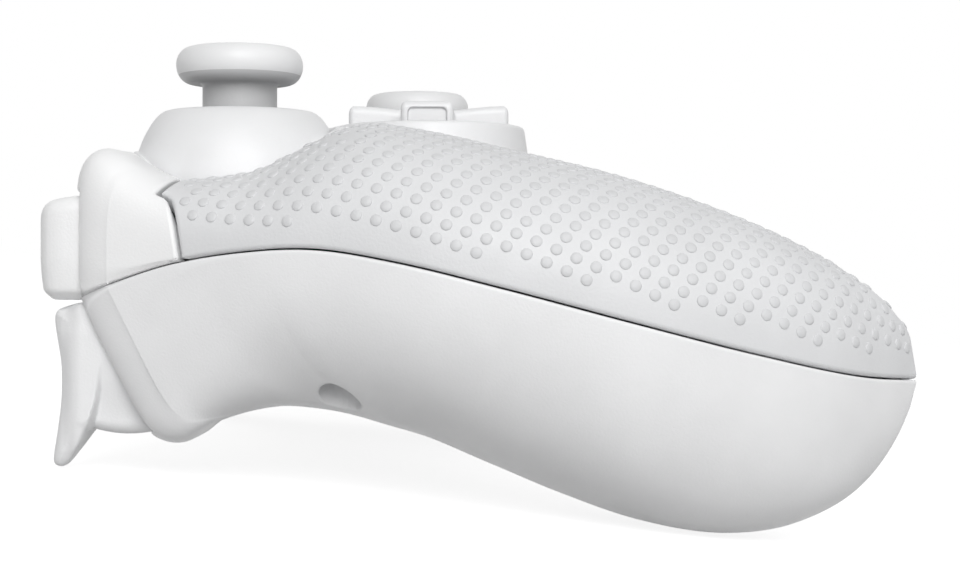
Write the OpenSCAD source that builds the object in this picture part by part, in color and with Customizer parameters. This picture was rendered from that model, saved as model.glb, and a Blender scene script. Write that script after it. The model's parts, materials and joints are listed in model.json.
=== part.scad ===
// Wireless gamepad with offset thumbsticks, dotted grip panels and hinged triggers.
// Modules are drawn level, with the thumbstick axes upright, +X to the player's right and +Y away
// from the player. rest() then tips the part onto its grips and trigger tips, with Z = 0 underneath.

/* [Body] */
// Overall width across the two grips
body_width = 152; // [146:1:160]
// Wall of the moulded shells
shell_wall = 2; // [1.6:0.1:2.4]
// Gap along the seams between shells
seam_gap = 0.35; // [0.3:0.05:0.5]
// Clearance round pieces that move through a shell
moving_gap = 0.4; // [0.3:0.05:0.6]
// Backward lean of the front wall below the seam, in mm per mm of depth
front_lean = 0.52; // [0.4:0.02:0.6]

/* [Thumbsticks] */
// Diameter of the thumb cap
cap_d = 17; // [15:0.5:18]
// Height of the thumb cap
cap_h = 4.8; // [4.5:0.1:6]
// Top of the thumb caps above the level datum
cap_top = 32.3; // [32:0.1:34]
// Diameter of the stem under the cap
stem_d = 10; // [8:0.5:10.5]
// Tilt of a stick about each of its two axes, in degrees
stick_tilt = 15; // [10:1:16]
// Travel of the stick button
stick_press = 0.5; // [0.3:0.1:0.6]
// Distance of the left stick from the middle plane
left_stick_x = 41; // [39:0.5:43]
// Left stick ahead of the level datum
left_stick_y = 32.4; // [31:0.2:33]
// Distance of the right stick from the middle plane
right_stick_x = 20.5; // [20:0.5:22]
// Right stick ahead of the level datum
right_stick_y = 10.5; // [9:0.5:12]
// Top of the domes that the sticks come out of
dome_top = 23.6; // [23:0.2:24.6]
// Diameter of the opening in a dome
dome_opening_d = 19; // [18.8:0.1:19.6]
// Diameter of a dome where it meets the neighbouring panels
dome_base_d = 28.4; // [27.6:0.2:29]

/* [Direction Pad] */
// Distance of the direction pad from the middle plane
dpad_x = 20.5; // [20:0.5:22]
// Direction pad ahead of the level datum
dpad_y = 7.4; // [6.4:0.2:8.4]
// Tip to tip span of the cross
dpad_span = 23; // [21:0.5:24]
// Width of an arm of the cross
dpad_arm = 7.4; // [6.6:0.2:8]
// Top of the arms above the level datum
dpad_top = 26.3; // [25.6:0.1:27]
// Tilt of the cross about each axis, in degrees
dpad_tilt = 4; // [2:0.5:4]
// Diameter of the raised round plinth at its top edge
plinth_d = 27.8; // [27:0.2:29]
// Height of the plinth's deck
plinth_top = 23.3; // [22.8:0.1:23.8]

/* [Face Buttons] */
// Distance of the button group from the middle plane
group_x = 42; // [41:0.5:43]
// Button group ahead of the level datum
group_y = 29.5; // [28.5:0.5:30]
// Distance of each button from the middle of the group
group_r = 9.2; // [8.8:0.1:9.2]
// Diameter of a face button
button_d = 9; // [8:0.2:9]
// Top of the face buttons
button_top = 26.6; // [26:0.1:27.2]
// Travel of a face button
button_travel = 1.2; // [0.8:0.1:1.3]
// Deck of the button group
group_deck = 23; // [22.6:0.1:23.4]
// Diameter of the button group's base
group_d = 33.2; // [33:0.2:34]
// Travel of the small centre buttons
small_travel = 0.6; // [0.4:0.1:0.8]
// Diameter of the home button
home_d = 11; // [9:0.5:12]
// Length of the small pill shaped buttons
pill_l = 7; // [6:0.5:8]
// Width of the small pill shaped buttons
pill_w = 3.6; // [3:0.2:4]

/* [Shoulder] */
// Outer end of a bumper from the middle plane
bumper_outer = 59.4; // [58:0.2:59.6]
// Inner end of a bumper from the middle plane
bumper_inner = 22; // [22:0.5:26]
// Front face of the bumpers
bumper_front = 55.8; // [55:0.2:56.6]
// Top of the bumpers
bumper_top = 11.7; // [10.8:0.1:12]
// Swing of a bumper, in degrees
bumper_swing = 2; // [1:0.2:2]
// Pull of a trigger, in degrees
trigger_pull = 17; // [12:1:18]
// Radius of the round trigger body about its pin
trigger_r = 14.7; // [14.2:0.1:14.9]
// Outer side of a trigger from the middle plane
trigger_outer = 59.4; // [58:0.2:59.6]
// Inner side of a trigger from the middle plane
trigger_inner = 34; // [34:0.5:38]
// Diameter of the trigger pins
trigger_pin_d = 3; // [2.4:0.2:3.4]

/* [Inside] */
// Top face of the main circuit board
board_top = 6; // [5.6:0.1:6.4]
// Thickness of the circuit boards
board_t = 1.6; // [1.2:0.2:2]
// Running clearance of pins in their eyes
pin_gap = 0.06; // [0.04:0.01:0.1]
// Diameter of the case screws' shanks
screw_d = 2.4; // [2:0.1:2.6]
// Diameter of the rumble motors
motor_d = 12; // [11:0.5:13]
// Diameter of the off-centre rumble weights
weight_d = 16; // [14:0.5:17]
// Bore of the headset socket
jack_bore_d = 3.6; // [3.5:0.05:3.8]

/* [Hidden] */
$fn = 48;

SHELL_WHITE = [0.96, 0.96, 0.95];
PANEL_GREY = [0.86, 0.86, 0.87];
CONTROL_WHITE = [0.93, 0.93, 0.93];
STEEL = [0.7, 0.71, 0.73];
BOARD_GREEN = [0.1, 0.35, 0.25];
DARK = [0.2, 0.2, 0.22];
RUBBER = [0.75, 0.78, 0.8];
BRASS = [0.75, 0.62, 0.35];

// Body loft. Each row is one section of the right half, straight in plan from the outer rim to the
// inner rim: outer x, outer y, inner x, inner y, squareness of the section.
SECTIONS = [
    [0, 46, 0, -14, 8],
    [20, 47.6, 9, -15, 8],
    [40, 50.6, 17, -17.5, 8],
    [54, 51.2, 23, -20, 8],
    [60.4, 50, 26, -21.5, 7.5],
    [63.4, 46, 28, -23, 5.5],
    [67, 34, 30, -25, 3.2],
    [71, 22, 32.5, -28, 2.5],
    [74.5, 8, 34.5, -31.5, 2.3],
    [76, -6, 36.5, -35.5, 2.2],
    [76, -18, 39, -40, 2.2],
    [74, -31, 42, -45, 2.2],
    [69.5, -42, 46.5, -50, 2.2],
    [63, -50, 51.5, -53.7, 2.2],
    [58.5, -54, 55.5, -55, 2.2]
];
// Width of the body as its sections are drawn
nominal_width = 2 * max([for (row = SECTIONS) row[0]]);
CORNER_ROW = 5;
TIP = [57, -55.3];
// Heights along the part, as [y, z]: the seam, the crest of the top and the keel of the grips
SEAM = [[-55.4, -11.6], [-47, -10.8], [-33, -7.9], [-18, -4.1], [-2, 0.1], [10, 3],
        [20, 4.6], [28, 4.4], [38, 2.9], [46, 0.4], [52, -2]];
CREST = [[-55.4, -11.4], [-54.6, -6.8], [-52.4, -2.8], [-47, 1.8], [-41, 5.4], [-33, 9.2],
         [-18, 14.8], [-6, 18.1], [8, 20.8], [22, 22], [36, 20.8], [46, 18.9], [52, 18.4]];
KEEL = [[-55.4, -11.8], [-54.4, -15], [-52.2, -19.7], [-48, -25.2], [-40, -29.7], [-31, -30.9],
        [-20, -29.5], [-10, -26.5], [-2, -23.3], [6, -19.8], [14, -17.2], [24, -14.9], [34, -14],
        [42, -17.8], [47, -20.2], [52, -20.8]];
shoulder_drop = 7.1;
drop_x = [38, 52];
drop_y = [12, 31];
drop_end = [36, 49];
middle_floor = -13;
floor_blend = [25, 45];
RING_STEPS = 14;

// Smooth curve through a list of rows at a fractional index, with a crisp edge at the corner row
function mirrored(r) = [-r[0], r[1], -r[2], r[3], r[4]];
function row_at(rows, i) = i < 0 ? mirrored(rows[-i]) : rows[min(len(rows) - 1, i)];
function spline(rows, t) =
    let (k = floor(t), f = t - k, b = row_at(rows, k), c = row_at(rows, k + 1),
         a = k == CORNER_ROW ? b : row_at(rows, k - 1), d = k + 1 == CORNER_ROW ? c : row_at(rows, k + 2))
    0.5 * (2 * b + (c - a) * f + (2 * a - 5 * b + 4 * c - d) * f * f + (3 * b - a - 3 * c + d) * f * f * f);
// Smooth height at y on a curve of [y, z] points, by cubic pieces with the slopes of its neighbours
function slope(c, i) = i <= 0 ? secant(c, 0) : i >= len(c) - 1 ? secant(c, len(c) - 2)
    : (secant(c, i - 1) + secant(c, i)) / 2;
function secant(c, i) = (c[i + 1][1] - c[i][1]) / (c[i + 1][0] - c[i][0]);
function piece(c, y) = max([0, for (i = [0 : len(c) - 2]) if (c[i][0] <= y) i]);
function height(c, y_in) =
    let (y = max(c[0][0], min(c[len(c) - 1][0], y_in)), i = piece(c, y), w = c[i + 1][0] - c[i][0],
         f = (y - c[i][0]) / w)
    c[i][1] * (1 + 2 * f) * (1 - f) * (1 - f) + w * slope(c, i) * f * (1 - f) * (1 - f)
    + c[i + 1][1] * f * f * (3 - 2 * f) + w * slope(c, i + 1) * f * f * (f - 1);
// Crest of the top, which falls away sideways at the shoulders
function crest_z(x, y) =
    height(CREST, y) - shoulder_drop * ease(drop_x[0], drop_x[1], abs(x))
    * (ease(drop_y[0], drop_y[1], y) - ease(drop_end[0], drop_end[1], y));
function ease(a, b, v) = let (f = max(0, min(1, (v - a) / (b - a)))) f * f * (3 - 2 * f);

// Lowest surface under the part: the keel in the grips, a flat floor in the middle
function floor_z(x, y) =
    let (f = ease(floor_blend[0], floor_blend[1], abs(x)))
    middle_floor + (height(KEEL, y) - middle_floor) * f;
// How much of the front wall's lean a section takes: all at the front, none along the grips
function lean_at(t) = front_lean * (1 - ease(4.6, 7.2, abs(t)));

// One section of the loft at t, where t counts rows from the middle and its sign picks the side
function section(t) =
    let (s = spline(SECTIONS, abs(t)), k = sign(t) * body_width / nominal_width)
    [[s[0] * k, s[1]], [s[2] * k, s[3]], s[4]];
function unit(v) = v / norm(v);
// A point of the loft: v runs from -1 at the outer rim to 1 at the inner rim, up is 1 or -1
function skin_point(t, v, up, inset) =
    let (s = section(t), dir = unit(s[1] - s[0]), half = norm(s[1] - s[0]) / 2,
         shrink = min(inset, half * 0.6),
         p = (s[0] + s[1]) / 2 + dir * (half - shrink) * v,
         seam = height(SEAM, p[1]),
         n = v > 0 ? min(s[2], 3.6) : up > 0 ? s[2] : max(s[2], 2 * s[2] - 2.6),
         rise = pow(max(0, 1 - pow(abs(v), n)), 1 / n),
         reach = up > 0 ? crest_z(p[0], p[1]) - seam : seam - floor_z(p[0], p[1]),
         z = rise * max(reach - inset, reach * 0.4),
         lean = up > 0 ? 0 : lean_at(t) * z * (1 - v) / 2)
    [p[0], p[1] - lean, seam + up * (z + seam_gap / 2)];
function ring(t, up, inset) =
    [for (j = [0 : RING_STEPS]) skin_point(t, sin(90 * (2 * j / RING_STEPS - 1)), up, inset)];
// Points and faces of a thin half shell between sections t0 and t1. Ends at the grip tips are closed
// round the tip, other ends are cut square.
function tip_point(side, up, inset) =
    let (k = side * body_width / nominal_width, back = inset > 0 ? shell_wall / 2 : 0,
         p = [TIP[0] * k, TIP[1] + back])
    [p[0], p[1], height(SEAM, p[1]) + up * seam_gap / 2];
function strip(a, b, n) =
    [for (j = [0 : n - 1]) each [[a + j, b + j, b + j + 1], [a + j, b + j + 1, a + j + 1]]];
function flip(faces) = [for (f = faces) [f[2], f[1], f[0]]];

module half_shell(ts, up) {
    last = len(SECTIONS) - 1;
    n = RING_STEPS + 1;
    m = len(ts);
    outer = [for (t = ts) each ring(t, up, 0)];
    inner = [for (t = ts) each ring(t, up, shell_wall)];
    first_tip = abs(ts[0]) >= last;
    last_tip = abs(ts[m - 1]) >= last;
    tips = [tip_point(sign(ts[0]), up, 0), tip_point(sign(ts[0]), up, 1),
            tip_point(sign(ts[m - 1]), up, 0), tip_point(sign(ts[m - 1]), up, 1)];
    i0 = m * n;
    tip0 = 2 * m * n;
    end = (m - 1) * n;
    skins = [for (k = [0 : m - 2]) each strip(k * n, (k + 1) * n, RING_STEPS)];
    cores = [for (k = [0 : m - 2]) each flip(strip(i0 + k * n, i0 + (k + 1) * n, RING_STEPS))];
    rims = [for (k = [0 : m - 2]) each concat(
        quad(i0 + k * n, i0 + (k + 1) * n, (k + 1) * n, k * n),
        quad(k * n + n - 1, (k + 1) * n + n - 1, i0 + (k + 1) * n + n - 1, i0 + k * n + n - 1))];
    start_cap = first_tip ? concat(fan(tip0, 0, RING_STEPS), flip(fan(tip0 + 1, i0, RING_STEPS)),
        quad(tip0 + 1, i0, 0, tip0), quad(tip0, n - 1, i0 + n - 1, tip0 + 1))
        : flip(strip(0, i0, RING_STEPS));
    end_cap = last_tip ? concat(flip(fan(tip0 + 2, end, RING_STEPS)), fan(tip0 + 3, i0 + end, RING_STEPS),
        quad(i0 + end, tip0 + 3, tip0 + 2, end), quad(end + n - 1, tip0 + 2, tip0 + 3, i0 + end + n - 1))
        : strip(end, i0 + end, RING_STEPS);
    faces = concat(skins, cores, rims, start_cap, end_cap);
    polyhedron(points = concat(outer, inner, tips), faces = up > 0 ? faces : flip(faces), convexity = 8);
}
function quad(a, b, c, d) = [[a, b, c], [a, c, d]];
function fan(tip, a, n) = [for (j = [0 : n - 1]) [tip, a + j, a + j + 1]];

// Seats and places that several pieces share
bridge_y = 37;
plan_h = 80;
dome_wall = 0.8 * shell_wall;
dome_h = 9;
dome_foot = 12.2;
plinth_draft = 1.1;
plinth_foot = 15;
group_draft = 0.9;
group_foot = 15;
deck_t = shell_wall;
LEFT_STICK = [-left_stick_x, left_stick_y];
RIGHT_STICK = [right_stick_x, right_stick_y];
DPAD = [-dpad_x, dpad_y];
GROUP = [group_x, group_y];
BUTTONS = [[0, -group_r], [group_r, 0], [-group_r, 0], [0, group_r]];
HOME = [0, 29.6];
SELECT = [-11, 26];
START = [11, 26];
CAPTURE = [0, 20];
LIGHT = [0, 9];
dome_r = dome_base_d / 2;
opening_r = dome_opening_d / 2;
dome_lip = 0.4;
plinth_r = plinth_d / 2;
group_base_r = group_d / 2;
trigger_axis = [44.5, -3.4];
trigger_w = trigger_outer - trigger_inner;
pin_r = trigger_pin_d / 2;
ear_t = 1.8;
pin_bite = 1;
jack_z = 9;
jack_nose_r = 3;
usb_w = 9;
usb_h = 3.2;
CASE_SCREWS = [[63, 17.3], [56, -40]];
BOARD_POSTS = [[30, 37], [30, -4]];
case_seat = [-8, -22];
boss_r = screw_d / 2 + 1.6;
case_shelf = 2;
screw_l = 9;
recess_r = 2.6;

module at(p, z = 0) { translate([p[0], p[1], z]) children(); }
module both() {
    children();
    mirror([1, 0, 0]) children();
}
module prism(z0 = -plan_h / 2, z1 = plan_h / 2) {
    translate([0, 0, z0]) linear_extrude(height = z1 - z0) children();
}
// Extrudes an outline of [y, z] points along X from x0 to x1
module along_x(x0, x1) {
    translate([x0, 0, 0]) rotate([90, 0, 90]) linear_extrude(height = x1 - x0) children();
}

// Plan outline of the middle face, grown by g and drawn in under the domes and plinths by tuck
module face_plan(g, tuck = 0) {
    translate(LEFT_STICK) circle(r = dome_r + g - tuck, $fn = 96);
    translate(RIGHT_STICK) circle(r = dome_r + g - tuck, $fn = 96);
    translate(DPAD) circle(r = plinth_r + plinth_draft + g - tuck, $fn = 96);
    translate(GROUP) circle(r = group_base_r + group_draft + g - tuck, $fn = 96);
    polygon([
        [-left_stick_x - 2 - g, bridge_y + g], [-left_stick_x - 2 - g, 24], [-dpad_x - 12 - g, 4],
        [-23 - g, -30], [23 + g, -30], [right_stick_x + 12 + g, 6], [group_x + 2 + g, 22],
        [group_x + 2 + g, bridge_y + g]
    ]);
}
// Plan outline of the shoulder housing, grown backwards by g, with a hooked step at each grip panel's nose
SHOULDER_REAR = [[plan_h, 34.4], [62, 37.6], [60.4, 40.6], [57.5, 41], [51, 36.4]];
module shoulder_plan(g) {
    k = body_width / nominal_width;
    n = len(SHOULDER_REAR);
    left = [for (p = SHOULDER_REAR) [-p[0] * k, p[1] - g]];
    right = [for (i = [n - 1 : -1 : 0]) [SHOULDER_REAR[i][0] * k, SHOULDER_REAR[i][1] - g]];
    polygon(concat(left, right, [[plan_h * k, plan_h], [-plan_h * k, plan_h]]));
}

// Truncated dome that a stick comes out of
function dome_curve(inset) = [for (a = [0 : 15 : 90])
    [opening_r + dome_lip + (dome_r - opening_r - dome_lip) * sin(a) - inset * sin(a),
     dome_top - dome_h * (1 - cos(a)) - inset * cos(a)]];
module dome(p) {
    inside = dome_curve(dome_wall);
    n = len(inside);
    at(p) rotate_extrude($fn = 96) polygon(concat(
        [[opening_r, dome_top]], dome_curve(0), [[dome_r, dome_foot], [dome_r - dome_wall, dome_foot]],
        [for (i = [n - 1 : -1 : 0]) inside[i]], [[opening_r, dome_top - dome_wall]]));
}
// Raised round base with a deck, open below
module plinth(p, r, draft, top, foot) {
    edge = 0.6;
    at(p) rotate_extrude($fn = 96) polygon([
        [0, top], [r - edge, top], [r, top - edge], [r + draft, foot], [r + draft - shell_wall, foot],
        [r - shell_wall, top - deck_t], [0, top - deck_t]
    ]);
}
module cross_outline(span, arm) {
    square([span, arm], center = true);
    square([arm, span], center = true);
}
module pill_outline(l, w) {
    square([l - w, w], center = true);
    for (s = [-1, 1]) translate([s * (l - w) / 2, 0]) circle(d = w);
}

module face_plate() {
    difference() {
        intersection() {
            half_shell([for (t = [-7 : 0.5 : 7]) t], 1);
            prism() face_plan(0, dome_wall / 4);
        }
        for (p = [LEFT_STICK, RIGHT_STICK]) at(p) cylinder(r = dome_r - dome_wall, h = plan_h, center = true);
        at(DPAD) cylinder(r = plinth_r - shell_wall / 2, h = plan_h, center = true);
        at(GROUP) cylinder(r = group_base_r - shell_wall / 2, h = plan_h, center = true);
        at(HOME) cylinder(d = home_d + 2 * moving_gap, h = plan_h);
        for (p = [SELECT, START, CAPTURE])
            at(p) prism(0) pill_outline(pill_l + 2 * moving_gap, pill_w + 2 * moving_gap);
        at(LIGHT) prism(0) pill_outline(light_l + 2 * seam_gap, light_w + 2 * seam_gap);
        translate([0, 0, jack_z]) rotate([90, 0, 0]) cylinder(r = jack_nose_r + seam_gap, h = 40);
    }
}
module face_shell() {
    color(SHELL_WHITE) difference() {
        union() {
            face_plate();
            dome(LEFT_STICK);
            dome(RIGHT_STICK);
            plinth(DPAD, plinth_r, plinth_draft, plinth_top, plinth_foot);
            plinth(GROUP, group_base_r, group_draft, group_deck, group_foot);
        }
        at(DPAD) prism(0) cross_outline(dpad_span + 2 * dpad_room, dpad_arm + 2 * dpad_room);
        for (b = BUTTONS) at(GROUP + b) cylinder(d = button_d + 2 * moving_gap, h = plan_h);
    }
}

// Solid inside of a half of the body, used to trim bosses and ribs to the skin
module half_core(ts, up, inset) {
    n = RING_STEPS + 1;
    m = len(ts);
    last = len(SECTIONS) - 1;
    tips = [tip_point(sign(ts[0]), up, 0), tip_point(sign(ts[m - 1]), up, 0)];
    tip0 = m * n;
    end = (m - 1) * n;
    skins = [for (k = [0 : m - 2]) each strip(k * n, (k + 1) * n, RING_STEPS)];
    lid = [for (k = [0 : m - 2]) each quad(k * n + n - 1, (k + 1) * n + n - 1, (k + 1) * n, k * n)];
    start_cap = abs(ts[0]) >= last ? concat(fan(tip0, 0, RING_STEPS), [[tip0, n - 1, 0]])
        : [for (j = [1 : RING_STEPS - 1]) [0, j, j + 1]];
    end_cap = abs(ts[m - 1]) >= last
        ? concat(flip(fan(tip0 + 1, end, RING_STEPS)), [[tip0 + 1, end, end + n - 1]])
        : [for (j = [1 : RING_STEPS - 1]) [end, end + j + 1, end + j]];
    faces = concat(skins, lid, start_cap, end_cap);
    points = concat([for (t = ts) each ring(t, up, inset)], tips);
    polyhedron(points = points, faces = up > 0 ? faces : flip(faces), convexity = 8);
}
// Bosses that take the case screws from below
module panel_boss(p, seat) {
    difference() {
        at(p, seat + case_shelf + seam_gap) cylinder(r = boss_r, h = plan_h / 2);
        at(p, seat) cylinder(d = screw_d + 2 * pin_gap, h = screw_l + 1);
    }
}
module grip_panel(side) {
    ts = side > 0 ? [for (t = [3 : 0.5 : 14]) t] : [for (t = [-14 : 0.5 : -3]) t];
    color(PANEL_GREY) {
        difference() {
            half_shell(ts, 1);
            prism() face_plan(seam_gap);
            prism() shoulder_plan(seam_gap);
        }
        intersection() {
            half_core(ts, 1, shell_wall / 2);
            for (i = [0 : len(CASE_SCREWS) - 1])
                panel_boss([side * CASE_SCREWS[i][0], CASE_SCREWS[i][1]], case_seat[i]);
        }
    }
}
module left_grip_panel() { grip_panel(-1); }
module right_grip_panel() { grip_panel(1); }

// Front bridge that carries the bumpers, notched for them and for the charging port
module shoulder_housing() {
    color(SHELL_WHITE) {
        difference() {
            intersection() {
                half_shell([for (t = [-7 : 0.5 : 7]) t], 1);
                prism() shoulder_plan(0);
            }
            prism() face_plan(seam_gap);
            both() translate([bumper_inner - bumper_room, notch_y, -plan_h / 2])
                cube([bumper_outer - bumper_inner + 2 * bumper_room, plan_h,
                      plan_h / 2 + bumper_top + moving_gap]);
            translate([0, 45, board_top + usb_h / 2])
                rotate([90, 0, 0]) prism(-8, 8) pill_outline(usb_w + 2 * seam_gap, usb_h + 2 * seam_gap);
        }
        both() at(BUMPER_PIN, bumper_pin_z[0])
            cylinder(d = bumper_pin_d, h = bumper_pin_z[1] - bumper_pin_z[0]);
    }
}

// Lower half of the case: posts, trigger ears, motor cradles and battery rails stand inside it
ALL_T = [for (t = [-14 : 0.5 : 14]) t];
post_r = recess_r + 1.4;
board_post_r = 2.8;
MOTOR = [-26, -9];
motor_x = [43, 57];
cradle_t = 1.6;
battery_size = [46, 30, 7.4];
battery_at = [0, 19, -9.6];
rail_t = 2;

module lower_frames() {
    for (i = [0 : len(CASE_SCREWS) - 1]) at(CASE_SCREWS[i], -plan_h / 2)
        cylinder(r = post_r, h = plan_h / 2 + case_seat[i] + case_shelf);
    for (p = BOARD_POSTS) at(p, -plan_h / 2)
        cylinder(r = board_post_r, h = plan_h / 2 + board_top - board_t);
    for (x = [trigger_inner - moving_gap - ear_t, trigger_outer + moving_gap])
        along_x(x, x + ear_t) polygon([
            [trigger_axis[0] - 5, -plan_h / 2], [60, -plan_h / 2], [60, trigger_axis[1] + pin_r + ear_t],
            [trigger_axis[0] - 5, trigger_axis[1] + pin_r + ear_t]]);
    for (x = [motor_x[0] + 2, motor_x[1] - 2 - cradle_t])
        translate([x, MOTOR[0] - motor_d / 2 - 1.4, -plan_h / 2])
            cube([cradle_t, motor_d + 2.8, plan_h / 2 + MOTOR[1]]);
    translate([battery_size[0] / 2 - 6, battery_at[1] - battery_size[1] / 2, -plan_h / 2])
        cube([rail_t, battery_size[1], plan_h / 2 + battery_at[2]]);
}
module bottom_shell() {
    color(SHELL_WHITE) difference() {
        union() {
            half_shell(ALL_T, -1);
            intersection() {
                half_core(ALL_T, -1, shell_wall / 2);
                both() lower_frames();
            }
        }
        both() {
            along_x(trigger_inner - moving_gap, trigger_outer + moving_gap)
                translate(trigger_axis) circle(r = trigger_r + moving_gap, $fn = 96);
            along_x(trigger_inner - moving_gap - ear_t - 1, trigger_outer + moving_gap + pin_bite + seam_gap)
                translate(trigger_axis) circle(r = pin_r + pin_gap);
            for (i = [0 : len(CASE_SCREWS) - 1]) {
                at(CASE_SCREWS[i], -plan_h / 2) cylinder(r = recess_r, h = plan_h / 2 + case_seat[i]);
                at(CASE_SCREWS[i], case_seat[i] - 1) cylinder(d = screw_d + 2 * seam_gap, h = 12);
            }
            for (p = BOARD_POSTS) at(p, board_top - board_screw_l - 1)
                cylinder(d = board_screw_d + 2 * pin_gap, h = board_screw_l);
            along_x(motor_x[0], motor_x[1]) translate(MOTOR) circle(d = motor_d + 2 * pin_gap);
        }
    }
}

// Boards
board_screw_d = 2;
board_screw_l = 6;
BOARD_EDGE = [[50, 43.6], [56, 37.6], [57.5, 30], [57.5, 14], [42, 1], [26, -8.6]];
switch_size = [6, 3, 3.6];
bumper_switch = [50, 41.6];
upper_board_top = 15.5;
membrane_t = 0.8;
membrane_dome_h = 1.5;
dpad_pivot_z = 17.4;
dpad_ring_r = 4.4;
dpad_pin_r = 0.7;
dpad_dome_r = 9.2;
module main_board() {
    n = len(BOARD_EDGE);
    color(BOARD_GREEN) difference() {
        prism(board_top - board_t, board_top) polygon(concat(BOARD_EDGE,
            [for (i = [n - 1 : -1 : 0]) [-BOARD_EDGE[i][0], BOARD_EDGE[i][1]]]));
        both() for (p = BOARD_POSTS) at(p) cylinder(d = board_screw_d + 2 * pin_gap, h = 20, center = true);
    }
    color(DARK) both() at(bumper_switch - [switch_size[0], switch_size[1]] / 2, board_top) cube(switch_size);
}
// Small board on three standoffs over the main board
module upper_board(p, r) {
    foot_r = 1.5;
    color(BOARD_GREEN) at(p) {
        translate([0, 0, upper_board_top - board_t]) cylinder(r = r, h = board_t);
        for (a = [90, 210, 330]) rotate(a) translate([r - 2, 0, board_top])
            cylinder(r = foot_r, h = upper_board_top - board_top - board_t / 2);
    }
}
dpad_board_r = plinth_r - shell_wall - 0.5;
group_board_r = group_base_r - shell_wall - 0.6;
dpad_post = [1.4, 2.6];
dpad_post_x = dpad_ring_r + 1;
module dpad_board() {
    upper_board(DPAD, dpad_board_r);
    color(BOARD_GREEN) at(DPAD) for (s = [0, 180]) rotate(s) difference() {
        translate([dpad_post_x, -dpad_post[1] / 2, upper_board_top - board_t / 2])
            cube([dpad_post[0], dpad_post[1],
                  dpad_pivot_z + 1.5 * dpad_pin_r - upper_board_top + board_t / 2]);
        translate([0, 0, dpad_pivot_z]) rotate([0, 90, 0]) cylinder(r = dpad_pin_r + pin_gap, h = 20);
    }
}
module group_board() { upper_board(GROUP, group_board_r); }
module membrane(p, r, domes) {
    color(RUBBER) at(p, upper_board_top) {
        difference() {
            cylinder(r = r, h = membrane_t);
            translate([0, 0, -1]) cylinder(r = dpad_post_x + dpad_post[0] + 0.6, h = 4);
        }
        for (d = domes) translate([d[0], d[1], membrane_t]) cylinder(r1 = 2.2, r2 = 1.6, h = membrane_dome_h);
    }
}
module dpad_membrane() {
    membrane(DPAD, dpad_board_r, [for (a = [0 : 90 : 270]) dpad_dome_r * [cos(a), sin(a)]]);
}
module group_membrane() { membrane(GROUP, group_board_r, BUTTONS); }
module battery() {
    color(DARK) translate(battery_at - [battery_size[0] / 2, battery_size[1] / 2, 0]) cube(battery_size);
}
module usb_port() {
    shell_t = 0.4;
    tongue_t = 0.8;
    color(STEEL) translate([0, 38, board_top + usb_h / 2]) rotate([-90, 0, 0]) {
        difference() {
            prism(0, 7.3) pill_outline(usb_w, usb_h);
            prism(1, 8) pill_outline(usb_w - 2 * shell_t, usb_h - 2 * shell_t);
        }
        translate([0, 0, 3]) cube([usb_w - 2.6, tongue_t, 6], center = true);
    }
}
jack_size = [8, 11, 6];
jack_rear = -7.6;
jack_nose_l = 5;
jack_depth = 12;
module headset_jack() {
    color(DARK) difference() {
        union() {
            translate([-jack_size[0] / 2, jack_rear, board_top]) cube(jack_size);
            translate([0, jack_rear, jack_z]) rotate([90, 0, 0]) cylinder(r = jack_nose_r, h = jack_nose_l);
        }
        translate([0, jack_rear - jack_nose_l + jack_depth, jack_z]) rotate([90, 0, 0])
            cylinder(d = jack_bore_d, h = jack_depth + 1);
    }
}

// Rumble motor lying in its cradle, and its off-centre weight
motor_shaft_r = 1;
weight_t = 6;
weight_gap = 1;
module rumble_motor(side) {
    color(STEEL) mirror([side < 0 ? 1 : 0, 0, 0]) {
        along_x(motor_x[0], motor_x[1]) translate(MOTOR) circle(d = motor_d);
        along_x(motor_x[1], motor_x[1] + weight_gap + weight_t + 1)
            translate(MOTOR) circle(r = motor_shaft_r);
    }
}
module rumble_weight(side) {
    hub_r = 2.6;
    color(BRASS) mirror([side < 0 ? 1 : 0, 0, 0])
        along_x(motor_x[1] + weight_gap, motor_x[1] + weight_gap + weight_t) translate(MOTOR) difference() {
            union() {
                circle(r = hub_r);
                intersection() {
                    circle(d = weight_d);
                    translate([-weight_d / 2, -weight_d]) square(weight_d);
                }
            }
            circle(r = motor_shaft_r + pin_gap);
        }
}
module left_rumble_motor() { rumble_motor(-1); }
module right_rumble_motor() { rumble_motor(1); }
module left_rumble_weight() { rumble_weight(-1); }
module right_rumble_weight() { rumble_weight(1); }

// Thumbstick mechanism, drawn about its pivot: a yoke turning about X carries the post, and a slotted
// cross yoke turning about Y follows it. Everything under the skirt stays inside its sphere.
pivot_depth = 10;
stick_pivot = dome_top - pivot_depth;
skirt_r = 9.9;
skirt_t = 1;
skirt_angle = 60;
housing_w = 15;
housing_wall = 1.2;
housing_top = -0.4;
ear_w = 4.4;
ear_top = 1.9;
stub_r = 1.2;
yoke_half = [5.2, 3.3];
yoke_bar = 1.1;
yoke_t = 2.6;
arch_y = 5.8;
arch_bar = 1.2;
arch_w = 5.6;
arch_top = 5;
post_shank_r = 1.5;
post_pin_r = 0.8;
post_drive_r = 1.8;
post_foot = -3.2;
post_head_gap = 0.8;
cap_web = 2;
slot_gap = 0.2;
slot_l = 8.8;
sensor_size = [3, 10, 7];

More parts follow.
